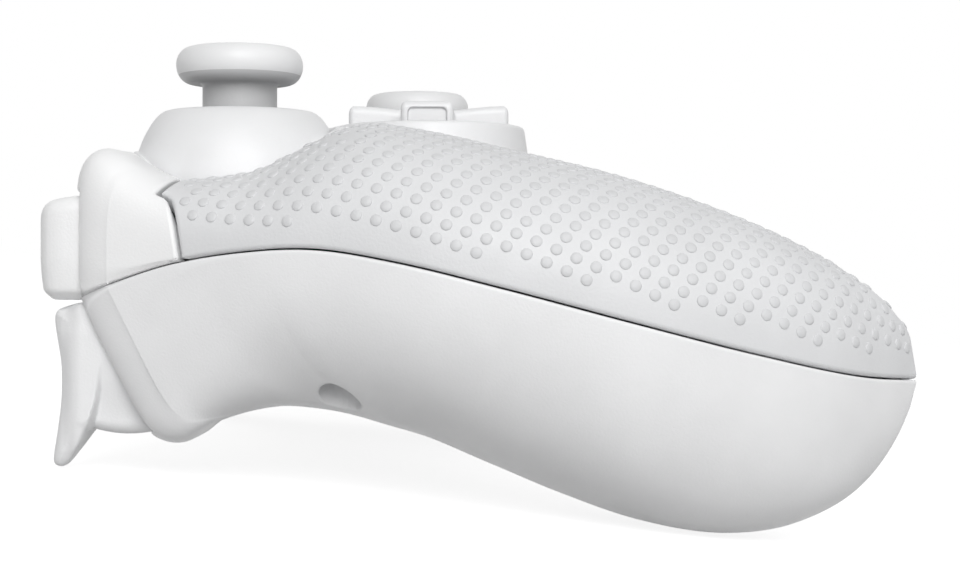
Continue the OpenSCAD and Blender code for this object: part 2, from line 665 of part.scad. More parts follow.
module stick_housing(p) {
    floor_z = board_top - stick_pivot;
    inside = housing_w - 2 * housing_wall;
    color(STEEL) at(p, stick_pivot) difference() {
        union() {
            translate([-housing_w / 2, -housing_w / 2, floor_z])
                cube([housing_w, housing_w, housing_top - floor_z]);
            for (a = [0 : 90 : 270]) rotate(a) translate([housing_w / 2 - housing_wall, -ear_w / 2, -2])
                cube([housing_wall, ear_w, 2 + ear_top]);
            for (a = [180, 270]) rotate(a) translate([housing_w / 2, -sensor_size[1] / 2, floor_z])
                cube(sensor_size);
        }
        translate([-inside / 2, -inside / 2, floor_z + 1]) cube([inside, inside, 20]);
        rotate([0, 90, 0]) cylinder(r = stub_r + pin_gap, h = 2 * housing_w, center = true);
        rotate([90, 0, 0]) cylinder(r = stub_r + pin_gap, h = 2 * housing_w, center = true);
    }
}
module stick_yoke(p) {
    inner = yoke_half - [yoke_bar, yoke_bar];
    color(CONTROL_WHITE) at(p, stick_pivot) difference() {
        union() {
            prism(-yoke_t / 2, yoke_t / 2) square(2 * yoke_half, center = true);
            rotate([0, 90, 0]) cylinder(r = stub_r, h = housing_w - 0.4, center = true);
        }
        prism(-yoke_t, yoke_t) square(2 * inner, center = true);
        rotate([90, 0, 0]) cylinder(r = post_pin_r + pin_gap, h = 20, center = true);
    }
}
module stick_cross_yoke(p) {
    leg = arch_y - arch_bar;
    color(CONTROL_WHITE) at(p, stick_pivot) difference() {
        union() {
            rotate([90, 0, 90]) prism(-arch_w / 2, arch_w / 2) difference() {
                polygon([[-arch_y, -stub_r], [arch_y, -stub_r], [arch_y, arch_top], [-arch_y, arch_top]]);
                polygon([[-leg, -stub_r - 1], [leg, -stub_r - 1], [leg, arch_top - arch_bar],
                         [-leg, arch_top - arch_bar]]);
            }
            for (s = [-90, 90]) rotate([s, 0, 0]) translate([0, 0, leg])
                cylinder(r = stub_r, h = housing_w / 2 - 0.2 - leg);
        }
        prism(0, 10) pill_slot();
    }
}
module pill_slot() { rotate(90) pill_outline(slot_l, 2 * (post_shank_r + slot_gap)); }
module stick_post(p) {
    shoulder = arch_top + 1.6;
    color(STEEL) at(p, stick_pivot) {
        translate([0, 0, post_foot]) cylinder(r = post_shank_r, h = shoulder - post_foot);
        translate([0, 0, shoulder])
            cylinder(r = post_drive_r, h = cap_top - stick_pivot - cap_web - post_head_gap - shoulder);
        rotate([90, 0, 0]) cylinder(r = post_pin_r, h = 2 * yoke_half[1] - 0.2, center = true);
    }
}
// Thumb cap: a bulged rim round a shallow dish, a stem and a spherical skirt
module stick_cap(p) {
    r = cap_d / 2;
    under = cap_top - cap_h;
    middle = cap_top - 0.48 * cap_h;
    dish = 0.7;
    rim = 1.7;
    bulge = 1.9;
    side = [for (a = [-75 : 15 : 75])
        [r - bulge + bulge * cos(a), middle + (a < 0 ? middle - under : cap_top - middle) * sin(a)]];
    color(CONTROL_WHITE) at(p) difference() {
        union() {
            rotate_extrude($fn = 96) polygon(concat([[0, under]], [[r - 3, under]], side,
                [[r - 2.4, cap_top], [r - 2.4 - rim, cap_top - dish * 0.5], [0, cap_top - dish]]));
            translate([0, 0, stick_pivot]) difference() {
                union() {
                    cylinder(d = stem_d, h = under - stick_pivot + 0.5);
                    intersection() {
                        sphere(r = skirt_r, $fn = 96);
                        cylinder(r1 = 0.01, r2 = 2 * skirt_r * tan(skirt_angle), h = 2 * skirt_r);
                    }
                }
                sphere(r = skirt_r - skirt_t, $fn = 96);
            }
        }
        translate([0, 0, stick_pivot])
            cylinder(r = post_drive_r + pin_gap, h = cap_top - stick_pivot - cap_web);
    }
}
module left_stick_housing() { stick_housing(LEFT_STICK); }
module left_stick_yoke() { stick_yoke(LEFT_STICK); }
module left_stick_cross_yoke() { stick_cross_yoke(LEFT_STICK); }
module left_stick_post() { stick_post(LEFT_STICK); }
module left_stick_cap() { stick_cap(LEFT_STICK); }
module right_stick_housing() { stick_housing(RIGHT_STICK); }
module right_stick_yoke() { stick_yoke(RIGHT_STICK); }
module right_stick_cross_yoke() { stick_cross_yoke(RIGHT_STICK); }
module right_stick_post() { stick_post(RIGHT_STICK); }
module right_stick_cap() { stick_cap(RIGHT_STICK); }

// Direction pad: a dished cross on a flange, rocking on a small gimbal ring
dpad_room = 0.6;
dpad_flange = [plinth_r - shell_wall - 0.6, 0.6];
dpad_flange_gap = 1.4;
dpad_flange_top = plinth_top - deck_t - dpad_flange_gap;
dpad_dish = 0.9;
dpad_stem_r = 2.2;
dpad_stem_foot = dpad_pivot_z - 0.9;
ring_t = 2.2;
ring_w = 1.3;
module dpad() {
    color(CONTROL_WHITE) at(DPAD) {
        difference() {
            prism(dpad_flange_top - 0.1, dpad_top) intersection() {
                cross_outline(dpad_span, dpad_arm);
                circle(d = dpad_span + 0.6, $fn = 96);
            }
            translate([0, 0, dpad_top - dpad_dish])
                cylinder(r1 = 1.5, r2 = dpad_span / 2 - 0.8, h = dpad_dish + 0.01);
        }
        translate([0, 0, dpad_flange_top - dpad_flange[1]])
            cylinder(r = dpad_flange[0], h = dpad_flange[1], $fn = 96);
        translate([0, 0, dpad_stem_foot])
            cylinder(r = dpad_stem_r, h = dpad_flange_top - dpad_flange[1] / 2 - dpad_stem_foot);
        translate([0, 0, dpad_pivot_z]) rotate([90, 0, 0])
            cylinder(r = dpad_pin_r, h = 2 * dpad_ring_r - 0.2, center = true);
    }
}
module dpad_ring() {
    color(STEEL) at(DPAD, dpad_pivot_z) difference() {
        union() {
            translate([0, 0, -ring_t / 2]) cylinder(r = dpad_ring_r, h = ring_t);
            rotate([0, 90, 0]) cylinder(r = dpad_pin_r, h = 2 * (dpad_post_x + dpad_post[0]), center = true);
        }
        cylinder(r = dpad_ring_r - ring_w, h = 10, center = true);
        rotate([90, 0, 0]) cylinder(r = dpad_pin_r + pin_gap, h = 20, center = true);
    }
}

// Face buttons with a crowned top, and the small centre buttons
button_flange = 0.6;
flange_t = 1.4;
module face_button(i) {
    r = button_d / 2;
    seat = group_deck - deck_t - 0.3;
    color(CONTROL_WHITE) at(GROUP + BUTTONS[i]) rotate_extrude() polygon([
        [0, seat - flange_t], [r + button_flange, seat - flange_t], [r + button_flange, seat], [r, seat],
        [r, button_top - 1.1], [r - 0.3, button_top - 0.5], [r - 1, button_top - 0.15], [0, button_top + 0.2]
    ]);
}
module button_south() { face_button(0); }
module button_east() { face_button(1); }
module button_west() { face_button(2); }
module button_north() { face_button(3); }

// Height of the face's under side near a small button's rim
function under_face(p, reach) = min(crest_z(p[0], p[1] - reach), crest_z(p[0], p[1] + reach)) - shell_wall;
button_proud = 0.7;
module home_button() {
    top = crest_z(HOME[0], HOME[1]) + button_proud;
    seat = under_face(HOME, home_d / 2 + 1) - 0.35;
    color(CONTROL_WHITE) at(HOME) rotate_extrude() polygon([
        [0, seat - flange_t], [home_d / 2 + 1, seat - flange_t], [home_d / 2 + 1, seat], [home_d / 2, seat],
        [home_d / 2, top - 0.4], [home_d / 2 - 0.5, top], [0, top]
    ]);
}
module pill_button(p) {
    seat = under_face(p, pill_w / 2 + 1) - 0.35;
    color(CONTROL_WHITE) at(p) {
        prism(seat - 0.1, crest_z(p[0], p[1]) + button_proud) pill_outline(pill_l, pill_w);
        prism(seat - flange_t, seat) pill_outline(pill_l + 2, pill_w + 2);
    }
}
module select_button() { pill_button(SELECT); }
module start_button() { pill_button(START); }
module capture_button() { pill_button(CAPTURE); }
light_l = 9;
light_w = 1.8;
module status_light() {
    top = crest_z(LIGHT[0], LIGHT[1]);
    color(RUBBER) at(LIGHT) {
        prism(top - shell_wall - 1, top) pill_outline(light_l, light_w);
        prism(under_face(LIGHT, 2) - 1.4, under_face(LIGHT, 2) - 0.3) pill_outline(light_l + 2, light_w + 2);
    }
}

// Bumpers: a moulded bar that swings on an upright pin at its inner end
bumper_room = 0.5;
notch_y = 40;
bumper_pin_d = 2.4;
BUMPER_PIN = [20, 41.6];
bumper_pin_z = [board_top + 0.5, 17.6];
bumper_eye_z = [board_top + 1.2, bumper_top - 1];
bumper_eye_r = 2.5;
// The inner stretch of the bar is cut higher, to stay above the seam
bumper_step = [trigger_inner + 0.6, 1.2];
module bumper(side) {
    f = bumper_front;
    t = bumper_top;
    o = bumper_outer;
    side_view = [[40, t], [f - 4.6, t], [f - 0.9, t - 0.5], [f, t - 1.5], [f, 2.2], [f - 0.4, -0.6],
                 [f - 1.2, -1.5], [f - 4.6, -1.2], [40, -1.2]];
    plan_view = [[bumper_inner, f - 9.6], [bumper_inner, f - 4.4], [30, f - 1.8], [44, f], [o - 4.5, f],
                 [o - 1.4, f - 0.9], [o - 0.2, f - 3], [o, f - 5.2], [o, f - 7], [50, f - 6.4],
                 [36, f - 7.4]];
    color(SHELL_WHITE) mirror([side < 0 ? 1 : 0, 0, 0]) {
        intersection() {
            along_x(0, 70) polygon(side_view);
            prism() polygon(plan_view);
            translate([0, 70, 0]) rotate([90, 0, 0]) prism(0, 60) polygon([
                [0, bumper_step[1]], [bumper_step[0], bumper_step[1]], [bumper_step[0], -10], [70, -10],
                [70, 20], [0, 20]]);
        }
        difference() {
            union() {
                prism(bumper_eye_z[0], bumper_eye_z[1]) polygon([
                    [BUMPER_PIN[0] - 1.6, BUMPER_PIN[1] + 1.9], [bumper_inner + 0.4, BUMPER_PIN[1] + 2.2],
                    [bumper_inner + 0.4, f - 8], [30, f - 5.6], [30, f - 7.6],
                    [BUMPER_PIN[0] + 1.8, BUMPER_PIN[1] - 1.7]]);
                at(BUMPER_PIN, bumper_eye_z[0])
                    cylinder(r = bumper_eye_r, h = bumper_eye_z[1] - bumper_eye_z[0]);
            }
            at(BUMPER_PIN) cylinder(d = bumper_pin_d + 2 * pin_gap, h = plan_h, center = true);
        }
        translate([bumper_switch[0] - 2, bumper_switch[1] + switch_size[1] / 2 + 1.5, board_top + 1])
            cube([4, f - 6 - bumper_switch[1] - switch_size[1] / 2 - 1.5, 2]);
    }
}
module left_bumper() { bumper(-1); }
module right_bumper() { bumper(1); }

// Triggers: a round hollow body about the pin with a curved lip in front
trigger_wall = 1.6;
trigger_hub_r = pin_r + 1.5;
trigger_eye_l = 5;
trigger_spring_l = 6;
lip_heel = 8;
function on_drum(r, a) = trigger_axis + r * [cos(a), sin(a)];
TRIGGER_LIP = [[49.7, -18], [50.6, -20], [51.9, -21.8], [52.7, -22.6], [53.6, -22.3], [53.9, -21.4],
               [53.3, -17.5], [52.9, -13.9], [52.9, -9.8], [53.4, -6.4], [53.8, -4.2], [53.5, -3.6],
               [52.6, -3.1], [50.1, -2.4], [47.4, -2.6]];
lip_front = 53.9;
// Lower edge of the lip, as [distance from the outer end, height]
LIP_EDGE = [[17.4, -15.9], [13.4, -17.2], [9.4, -18.9], [5.9, -20.8], [4.2, -21.8]];
// Front view of a trigger's lip, longest near the outer end and swept up towards the middle
module lip_outline() {
    toe_r = 3;
    low = TRIGGER_LIP[3][1];
    edge = [for (e = LIP_EDGE) [trigger_outer - e[0], e[1]]];
    toe = [for (a = [-90 : 15 : 0]) [trigger_outer, low] + toe_r * [cos(a) - 1, sin(a) + 1]];
    polygon(concat([[trigger_inner, 10], [trigger_inner, -14.6]], edge, toe, [[trigger_outer, 10]]));
}
module trigger(side) {
    drum = [for (a = [-114 : 6 : -72]) on_drum(trigger_r, a)];
    hollow = [for (a = [-112 : 6 : -76]) on_drum(trigger_r - trigger_wall, a)];
    corner = 4;
    heart = trigger_axis + [-2, 0];
    color(SHELL_WHITE) mirror([side < 0 ? 1 : 0, 0, 0]) difference() {
        union() {
            along_x(trigger_inner, trigger_outer) polygon(concat(drum, [on_drum(trigger_r, -66), heart]));
            intersection() {
                along_x(trigger_inner, trigger_outer) polygon(concat(drum, TRIGGER_LIP, [heart]));
                prism() {
                    translate([trigger_inner, 20]) square([trigger_w - corner, 40]);
                    translate([trigger_inner, 20]) square([trigger_w, lip_front - corner - 20]);
                    translate([trigger_outer - corner, lip_front - corner]) circle(r = corner);
                }
                translate([0, 70, 0]) rotate([90, 0, 0]) prism(0, 60) lip_outline();
            }
            along_x(trigger_inner, trigger_outer) translate(trigger_axis) circle(r = trigger_hub_r);
        }
        along_x(trigger_inner + lip_heel, trigger_outer - trigger_wall) polygon(concat(hollow,
            [[50.6, -13.4], [51.2, -9.8], [51.4, -5.4], [48.8, -4.2], trigger_axis + [3, -4.4],
             trigger_axis + [-3, -4.4], trigger_axis + [-8, -6], trigger_axis + [-9, -12]]));
        along_x(trigger_inner + trigger_eye_l, trigger_outer - trigger_eye_l)
            translate(trigger_axis) circle(r = trigger_hub_r + 0.6);
        along_x(0, 80) translate(trigger_axis) circle(r = pin_r + pin_gap);
    }
}
module left_trigger() { trigger(-1); }
module right_trigger() { trigger(1); }
module trigger_pin(side) {
    color(STEEL) mirror([side < 0 ? 1 : 0, 0, 0])
        along_x(trigger_inner - moving_gap - ear_t, trigger_outer + moving_gap + pin_bite)
            translate(trigger_axis) circle(r = pin_r);
}
module left_trigger_pin() { trigger_pin(-1); }
module right_trigger_pin() { trigger_pin(1); }
module trigger_spring(side) {
    x0 = (trigger_inner + trigger_outer - trigger_spring_l) / 2;
    color(STEEL) mirror([side < 0 ? 1 : 0, 0, 0])
        along_x(x0, x0 + trigger_spring_l) translate(trigger_axis) difference() {
            circle(r = trigger_hub_r);
            circle(r = pin_r + moving_gap);
        }
}
module left_trigger_spring() { trigger_spring(-1); }
module right_trigger_spring() { trigger_spring(1); }

// Screws
head_h = 1.6;
module screw(d, l) {
    difference() {
        union() {
            cylinder(d = d, h = l);
            translate([0, 0, -head_h]) cylinder(d = 1.8 * d, h = head_h);
        }
        translate([0, 0, -head_h - 1]) cylinder(d = d * 0.7, h = 2, $fn = 6);
    }
}
module shell_screws() {
    color(STEEL) both() for (i = [0 : len(CASE_SCREWS) - 1])
        at(CASE_SCREWS[i], case_seat[i]) screw(screw_d, screw_l);
}
module board_screws() {
    color(STEEL) both() for (p = BOARD_POSTS)
        at(p, board_top) mirror([0, 0, 1]) screw(board_screw_d, board_screw_l);
}

// Tips the part forward until the grips and the trigger tips touch the ground together
lowest_grip = min([for (p = KEEL) p[1]]);
grip_y = [for (p = KEEL) if (p[1] == lowest_grip) p[0]][0];
trigger_low = TRIGGER_LIP[3];
rest_pitch = atan((trigger_low[1] - lowest_grip) / (trigger_low[0] - grip_y));
function tipped(p) =
    [p[0] * cos(rest_pitch) + p[1] * sin(rest_pitch), p[1] * cos(rest_pitch) - p[0] * sin(rest_pitch)];
lift = -min(concat([for (y = [-44 : 1 : -20]) tipped([y, height(KEEL, y) - seam_gap / 2])[1]],
                   [for (p = TRIGGER_LIP) tipped(p)[1]]));
front_y = tipped([bumper_front, bumper_top - 1.5])[0];
back_y = tipped([TIP[1], height(SEAM, TIP[1])])[0];
module rest() { translate([0, -(front_y + back_y) / 2, lift]) rotate([-rest_pitch, 0, 0]) children(); }

rest() bottom_shell();
rest() face_shell();
rest() left_grip_panel();
rest() right_grip_panel();
rest() shoulder_housing();
rest() main_board();
rest() dpad_board();
rest() group_board();
rest() battery();
rest() usb_port();
rest() headset_jack();
rest() left_rumble_motor();
rest() right_rumble_motor();
rest() left_rumble_weight();
rest() right_rumble_weight();
rest() left_stick_housing();
rest() left_stick_yoke();
rest() left_stick_cross_yoke();
rest() left_stick_post();
rest() left_stick_cap();
rest() right_stick_housing();
rest() right_stick_yoke();
rest() right_stick_cross_yoke();
rest() right_stick_post();
rest() right_stick_cap();
rest() dpad();
rest() dpad_ring();
rest() dpad_membrane();
rest() group_membrane();
rest() button_south();
rest() button_east();
rest() button_west();
rest() button_north();
rest() home_button();
rest() select_button();
rest() start_button();
rest() capture_button();
rest() status_light();
rest() left_bumper();
rest() right_bumper();
rest() left_trigger();
rest() right_trigger();
rest() left_trigger_pin();
rest() right_trigger_pin();
rest() left_trigger_spring();
rest() right_trigger_spring();
rest() shell_screws();
rest() board_screws();
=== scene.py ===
"""Looks of a white gamepad: smooth shells, dotted grip panels, sticks, pad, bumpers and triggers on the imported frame.

Pieces are drawn in millimetres in the level frame of the design, where the stick axes are upright, and
place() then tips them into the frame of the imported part, where the gamepad rests on its grips.
"""
import json
import math

import bmesh
import bpy
import numpy as np
from mathutils import Matrix, Vector


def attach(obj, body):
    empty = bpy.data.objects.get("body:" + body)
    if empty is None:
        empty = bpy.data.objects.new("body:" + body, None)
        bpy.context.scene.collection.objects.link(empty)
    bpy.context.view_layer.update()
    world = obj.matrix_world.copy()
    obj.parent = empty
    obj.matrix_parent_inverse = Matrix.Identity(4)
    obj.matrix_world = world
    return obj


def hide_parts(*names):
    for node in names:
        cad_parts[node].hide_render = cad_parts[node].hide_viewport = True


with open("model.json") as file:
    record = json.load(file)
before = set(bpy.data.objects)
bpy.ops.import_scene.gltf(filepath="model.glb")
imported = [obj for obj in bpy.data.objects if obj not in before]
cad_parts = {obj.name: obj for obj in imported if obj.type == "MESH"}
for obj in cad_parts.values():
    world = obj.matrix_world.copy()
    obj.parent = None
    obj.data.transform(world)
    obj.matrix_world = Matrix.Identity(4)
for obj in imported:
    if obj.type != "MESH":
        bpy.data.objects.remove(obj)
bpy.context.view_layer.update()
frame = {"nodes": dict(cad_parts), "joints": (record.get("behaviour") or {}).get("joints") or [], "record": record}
nodes = frame["nodes"]

# Design sizes in mm, as in the part's source
BODY_WIDTH = 152
SEAM_GAP, GROOVE = 0.22, 0.4
FRONT_LEAN = 0.52
LEFT_STICK = (-41, 32.4)
RIGHT_STICK = (20.5, 10.5)
DPAD = (-20.5, 7.4)
GROUP = (42, 29.5)
CAP_TOP, CAP_H, CAP_D, STEM_D = 32.3, 4.8, 17, 10
DOME_TOP, DOME_H, DOME_R, DOME_FULL, OPENING_R, DOME_FOOT = 23.6, 9, 14.2, 1.3, 9.5, 12.2
PIVOT_Z = DOME_TOP - 10
SKIRT_R = 9.9
PLINTH_TOP, PLINTH_R, PLINTH_DRAFT, PLINTH_FOOT = 23.3, 13.9, 1.1, 15
GROUP_TOP, GROUP_R, GROUP_DRAFT = 23, 16.6, 0.9
DPAD_SPAN, DPAD_ARM, DPAD_TOP, DPAD_DISH, DPAD_ROOM = 23, 7.4, 26.3, 0.9, 0.6
BUTTON_RING, BUTTON_HOLE = 9.2, 4.9
HOME, HOME_HOLE = (0, 29.6), 5.9
PILLS, PILL_HOLE = [(-11, 26), (11, 26), (0, 20)], (7.8, 4.4)
LIGHT, LIGHT_HOLE = (0, 9), (9.7, 2.5)
BUMPER_X, BUMPER_FRONT, BUMPER_TOP, BUMPER_ROOM = (22, 59.4), 55.8, 11.7, 0.5
TRIGGER_X, TRIGGER_AXIS, TRIGGER_R, MOVING_GAP = (34, 59.4), (44.5, -3.4), 14.7, 0.4
LIP = [(49.6, -18), (50.6, -20), (51.8, -22), (52.7, -23.1), (53.8, -22.8), (54.1, -21.6), (53.5, -17.5),
       (53.1, -13.9), (53.1, -9.8), (53.6, -6.4), (54, -4), (53.8, -3), (52.8, -2.4), (50.1, -1.8), (47.4, -2)]
LIP_REAR = [(47.4, -2), (47.6, -6), (48.1, -11), (48.6, -14.5), (49.6, -18)]
LIP_FLARE = 1.9
LIP_EDGE = [(34, -13), (40, -15), (45, -16.9), (49, -18.5), (52, -20), (54, -21.3), (55.6, -22.4), (57, -22.9),
            (58.4, -22.5), (59.4, -21)]
BUMPER_PLAN = [(22, 51.4), (30, 54), (44, 55.8), (52, 56), (56, 55.8), (58.2, 54.9), (59.2, 52.8), (59.4, 48.8)]
CASE_SCREWS, CASE_SEATS, RECESS_R = [(63, 17.3), (56, -40)], [-8, -22], 2.6
DOT_PITCH, DOT_ROW, DOT_R, DOT_H, DOT_MARGIN = 2.4, 2.08, 0.74, 0.22, 3.2
DOT_GUIDE = [(-55, -9), (-40, -5), (-25, -1.4), (-8, 2.2), (8, 4.1), (18, 4.9), (29, 6), (36, 7.7), (42, 9)]
WALL = 1.8
FLOOR_SHADE, SKY = 0.5, 0.29

# Sections of the right half of the body: outer x, outer y, inner x, inner y, squareness
SECTIONS = np.array([
    [0, 46, 0, -14, 8], [20, 47.6, 9, -15, 8], [40, 50.6, 17, -17.5, 8], [54, 51.2, 23, -20, 8],
    [60.4, 50, 26, -21.5, 7.5], [63.4, 46, 28, -23, 5.5], [67, 34, 30, -25, 3.2], [71, 22, 32.5, -28, 2.5],
    [74.5, 8, 34.5, -31.5, 2.3], [76, -6, 36.5, -35.5, 2.2], [76, -18, 39, -40, 2.2], [74, -31, 42, -45, 2.2],
    [69.5, -42, 46.5, -50, 2.2], [63, -50, 51.5, -53.7, 2.2], [58.5, -54, 55.5, -55, 2.2]], float)
LAST = len(SECTIONS) - 1
END = LAST + 0.96
CORNER_ROW = 5
TIP = (57, -55.3)
# Heights along the part as [y, z]: the seam, the crest of the top and the keel of the grips
SEAM = [[-55.4, -11.6], [-47, -10.8], [-33, -7.9], [-18, -4.1], [-2, 0.1], [10, 3],
        [20, 4.6], [28, 4.4], [38, 2.9], [46, 0.4], [52, -2]]
CREST = [[-55.4, -11.4], [-54.6, -6.8], [-52.4, -2.8], [-47, 1.8], [-41, 5.4], [-33, 9.2],
         [-18, 14.8], [-6, 18.1], [8, 20.8], [22, 22], [36, 20.8], [46, 18.9], [52, 18.4]]
# How much lower the ridge of a grip lies than the crest, as [y, z], and where it sets in across the part
RIDGE, RIDGE_X = [[-55.4, 0], [-54.6, 0.3], [-47, 0.6], [-33, 0.8], [-18, 1], [-6, 1.2], [8, 0.6], [22, 0]], (40, 50)
KEEL = [[-55.4, -11.8], [-54.4, -14.8], [-52.2, -19.3], [-48, -24.5], [-40, -29.1], [-31, -30.6],
        [-20, -29.1], [-10, -25.8], [-2, -22.6], [6, -19.5], [14, -17.6], [24, -15.5], [34, -15],
        [42, -17], [47, -19.8], [52, -20.6]]
SHOULDER_DROP, DROP_X, DROP_Y, DROP_END = 7.1, (38, 52), (12, 31), (36, 49)
MIDDLE_FLOOR, FLOOR_BLEND = -13, (25, 45)


# Curves and the loft of the body
def ease(a, b, v):
    f = np.clip((v - a) / (b - a), 0, 1)
    return f * f * (3 - 2 * f)


def height(points, y):
    """Smooth height at y on a curve of [y, z] points."""
    ys, zs = np.array(points, float).T
    secants = np.diff(zs) / np.diff(ys)
    slopes = np.concatenate([secants[:1], (secants[1:] + secants[:-1]) / 2, secants[-1:]])
    y = np.clip(y, ys[0], ys[-1])
    i = np.clip(np.searchsorted(ys, y, side="right") - 1, 0, len(ys) - 2)
    w = ys[i + 1] - ys[i]
    f = (y - ys[i]) / w
    return (zs[i] * (1 + 2 * f) * (1 - f) ** 2 + w * slopes[i] * f * (1 - f) ** 2
            + zs[i + 1] * f * f * (3 - 2 * f) + w * slopes[i + 1] * f * f * (f - 1))


def section_row(i):
    row = SECTIONS[np.minimum(np.abs(i), LAST)].copy()
    row[..., (0, 2)] *= np.where(i < 0, -1, 1)[..., None]
    return row


def section(t):
    """Smooth section at |t|, counted in rows from the middle. Its outer rim has a crisp edge at the corner row."""
    k = np.floor(t).astype(int)
    f = (t - k)[..., None]
    b, c = section_row(k), section_row(k + 1)

    def between_rows(before, after):
        a, d = section_row(before), section_row(after)
        return 0.5 * (2 * b + (c - a) * f + (2 * a - 5 * b + 4 * c - d) * f ** 2 + (3 * b - a - 3 * c + d) * f ** 3)
    crisp = between_rows(np.where(k == CORNER_ROW, k, k - 1), np.where(k + 1 == CORNER_ROW, k + 1, k + 2))
    return np.concatenate([crisp[..., :2], between_rows(k - 1, k + 2)[..., 2:]], -1)


def crest_z(x, y):
    drop = ease(*DROP_X, np.abs(x)) * (ease(*DROP_Y, y) - ease(*DROP_END, y))
    return height(CREST, y) - SHOULDER_DROP * drop - height(RIDGE, y) * ease(*RIDGE_X, np.abs(x))


def floor_z(x, y):
    return MIDDLE_FLOOR + (height(KEEL, y) - MIDDLE_FLOOR) * ease(*FLOOR_BLEND, np.abs(x))


def skin(params, up):
    """Points of the body's skin. params are (t, s): t counts sections, past LAST it rounds off the grip's end,
    and s runs from -1 at the outer rim to 1 at the inner rim."""
    t, s = params.T
    v = np.sin(np.clip(s, -1, 1) * math.pi / 2)
    side = np.where(t < 0, -1, 1)
    over = np.clip(np.abs(t) - LAST, 0, 1)
    rows = section(np.minimum(np.abs(t), LAST))
    outer = np.stack([rows[:, 0] * side, rows[:, 1]], 1)
    inner = np.stack([rows[:, 2] * side, rows[:, 3]], 1)
    squareness = rows[:, 4]
    p = (outer + inner) / 2 + (inner - outer) / 2 * v[:, None]
    seam = height(SEAM, p[:, 1])
    wide = np.maximum(squareness, 2 * squareness - (6 if up > 0 else 2.6))
    n = np.where(v > 0, np.minimum(squareness, 3.6 - 1.4 * ease(2.5, 9, np.abs(t))), wide)
    rise = np.maximum(0, 1 - np.abs(v) ** n) ** (1 / n)
    reach = crest_z(p[:, 0], p[:, 1]) - seam if up > 0 else seam - floor_z(p[:, 0], p[:, 1])
    z = rise * reach
    if up < 0:
        p[:, 1] -= FRONT_LEAN * (1 - ease(4.6, 7.2, np.abs(t))) * z * (1 - v) / 2
    q = np.stack([p[:, 0], p[:, 1], seam + up * (z + SEAM_GAP / 2)], 1)
    end = np.stack([TIP[0] * side, np.full_like(t, TIP[1]), height(SEAM, np.full_like(t, TIP[1])) + up * SEAM_GAP / 2], 1)
    return q + (end - q) * over[:, None]


# Distances in plan, negative inside
def circle(p, centre, r):
    return np.hypot(p[:, 0] - centre[0], p[:, 1] - centre[1]) - r


def polygon(p, corners):
    """Signed distance to a closed polygon, negative inside."""
    c = np.array(corners, float)
    best = np.full(len(p), 1e9)
    inside = np.zeros(len(p), bool)
    for a, b in zip(c, np.roll(c, -1, 0)):
        e, w = b - a, p - a
        f = np.clip((w @ e) / (e @ e), 0, 1)
        best = np.minimum(best, np.hypot(*(w - f[:, None] * e).T))
        crosses = (a[1] > p[:, 1]) != (b[1] > p[:, 1])
        if a[1] != b[1]:
            inside ^= crosses & (p[:, 0] < a[0] + (p[:, 1] - a[1]) / (b[1] - a[1]) * e[0])
    return np.where(inside, -best, best)


def pill(u, w, length, width):
    return np.hypot(np.maximum(np.abs(u) - (length - width) / 2, 0), w) - width / 2


def cross(u, w, span, arm):
    bars = [np.maximum(np.abs(u) - a / 2, np.abs(w) - b / 2) for a, b in ((span, arm), (arm, span))]
    return np.minimum(*bars)


def face_plan(p):
    lx, gx = LEFT_STICK[0] - 2, GROUP[0] + 2
    bridge = 37
    outline = [(lx, bridge), (lx, 24), (DPAD[0] - 12, 4), (-23, -30), (23, -30), (RIGHT_STICK[0] + 12, 6),
               (gx, 22), (gx, bridge)]
    rounds = [circle(p, LEFT_STICK, DOME_R), circle(p, RIGHT_STICK, DOME_R),
              circle(p, DPAD, PLINTH_R + PLINTH_DRAFT), circle(p, GROUP, GROUP_R + GROUP_DRAFT)]
    return np.minimum.reduce([polygon(p[:, :2], outline)] + rounds)


def shoulder_side(p):
    """The shoulder's rear edge in the side view: up from the seam, a nose of the panel, then back to the dome."""
    nose = [(36.6, 2), (37.5, 7.6), (38, 9.8), (38.4, 10.8), (39, 11.35), (40, 11.75), (37.9, 14.3), (36.4, 16.6), (36.2, 40)]
    return polygon(p[:, 1:], [(36, -20)] + nose + [(90, 40), (90, -20)])


# Trimmed patches
ROUND = [0.0, 0.076, 0.293, 0.617, 1.0]


def trim(params, quads, field, levels):
    """Splits a grid along level lines of a field, and drops what lies below the first level."""
    faces = []
    for first, level in zip([True] + [False] * len(levels), levels):
        f = field(params) - level
        f[np.abs(f) < 1e-7] = 1e-7
        high = f > 0
        count = high[quads].sum(1)
        cut = [list(q) for q in quads[(count > 0) & (count < 4)]]
        quads = quads[count == 4] if first else quads[(count == 0) | (count == 4)]
        added, known, kept = [], {}, []
        for face in cut + faces:
            over, under = [], []
            for a, b in zip(face, face[1:] + face[:1]):
                (over if high[a] else under).append(a)
                if high[a] != high[b]:
                    key = (min(a, b), max(a, b))
                    if key not in known:
                        known[key] = len(params) + len(added)
                        w = f[a] / (f[a] - f[b])
                        added.append(params[a] * (1 - w) + params[b] * w)
                    over.append(known[key])
                    under.append(known[key])
            kept += [over] if len(over) > 2 else []
            kept += [under] if len(under) > 2 and not first else []
        faces = kept
        params = np.vstack([params, np.array(added)]) if added else params
    return params, [list(q) for q in quads] + faces


def grid(us, vs):
    us, vs = np.array(us, float), np.array(vs, float)
    params = np.stack(np.meshgrid(us, vs, indexing="ij"), -1).reshape(-1, 2)
    n = len(vs)
    i, j = np.meshgrid(np.arange(len(us) - 1), np.arange(n - 1), indexing="ij")
    a = (i * n + j).ravel()
    return params, np.stack([a, a + n, a + n + 1, a + 1], 1)


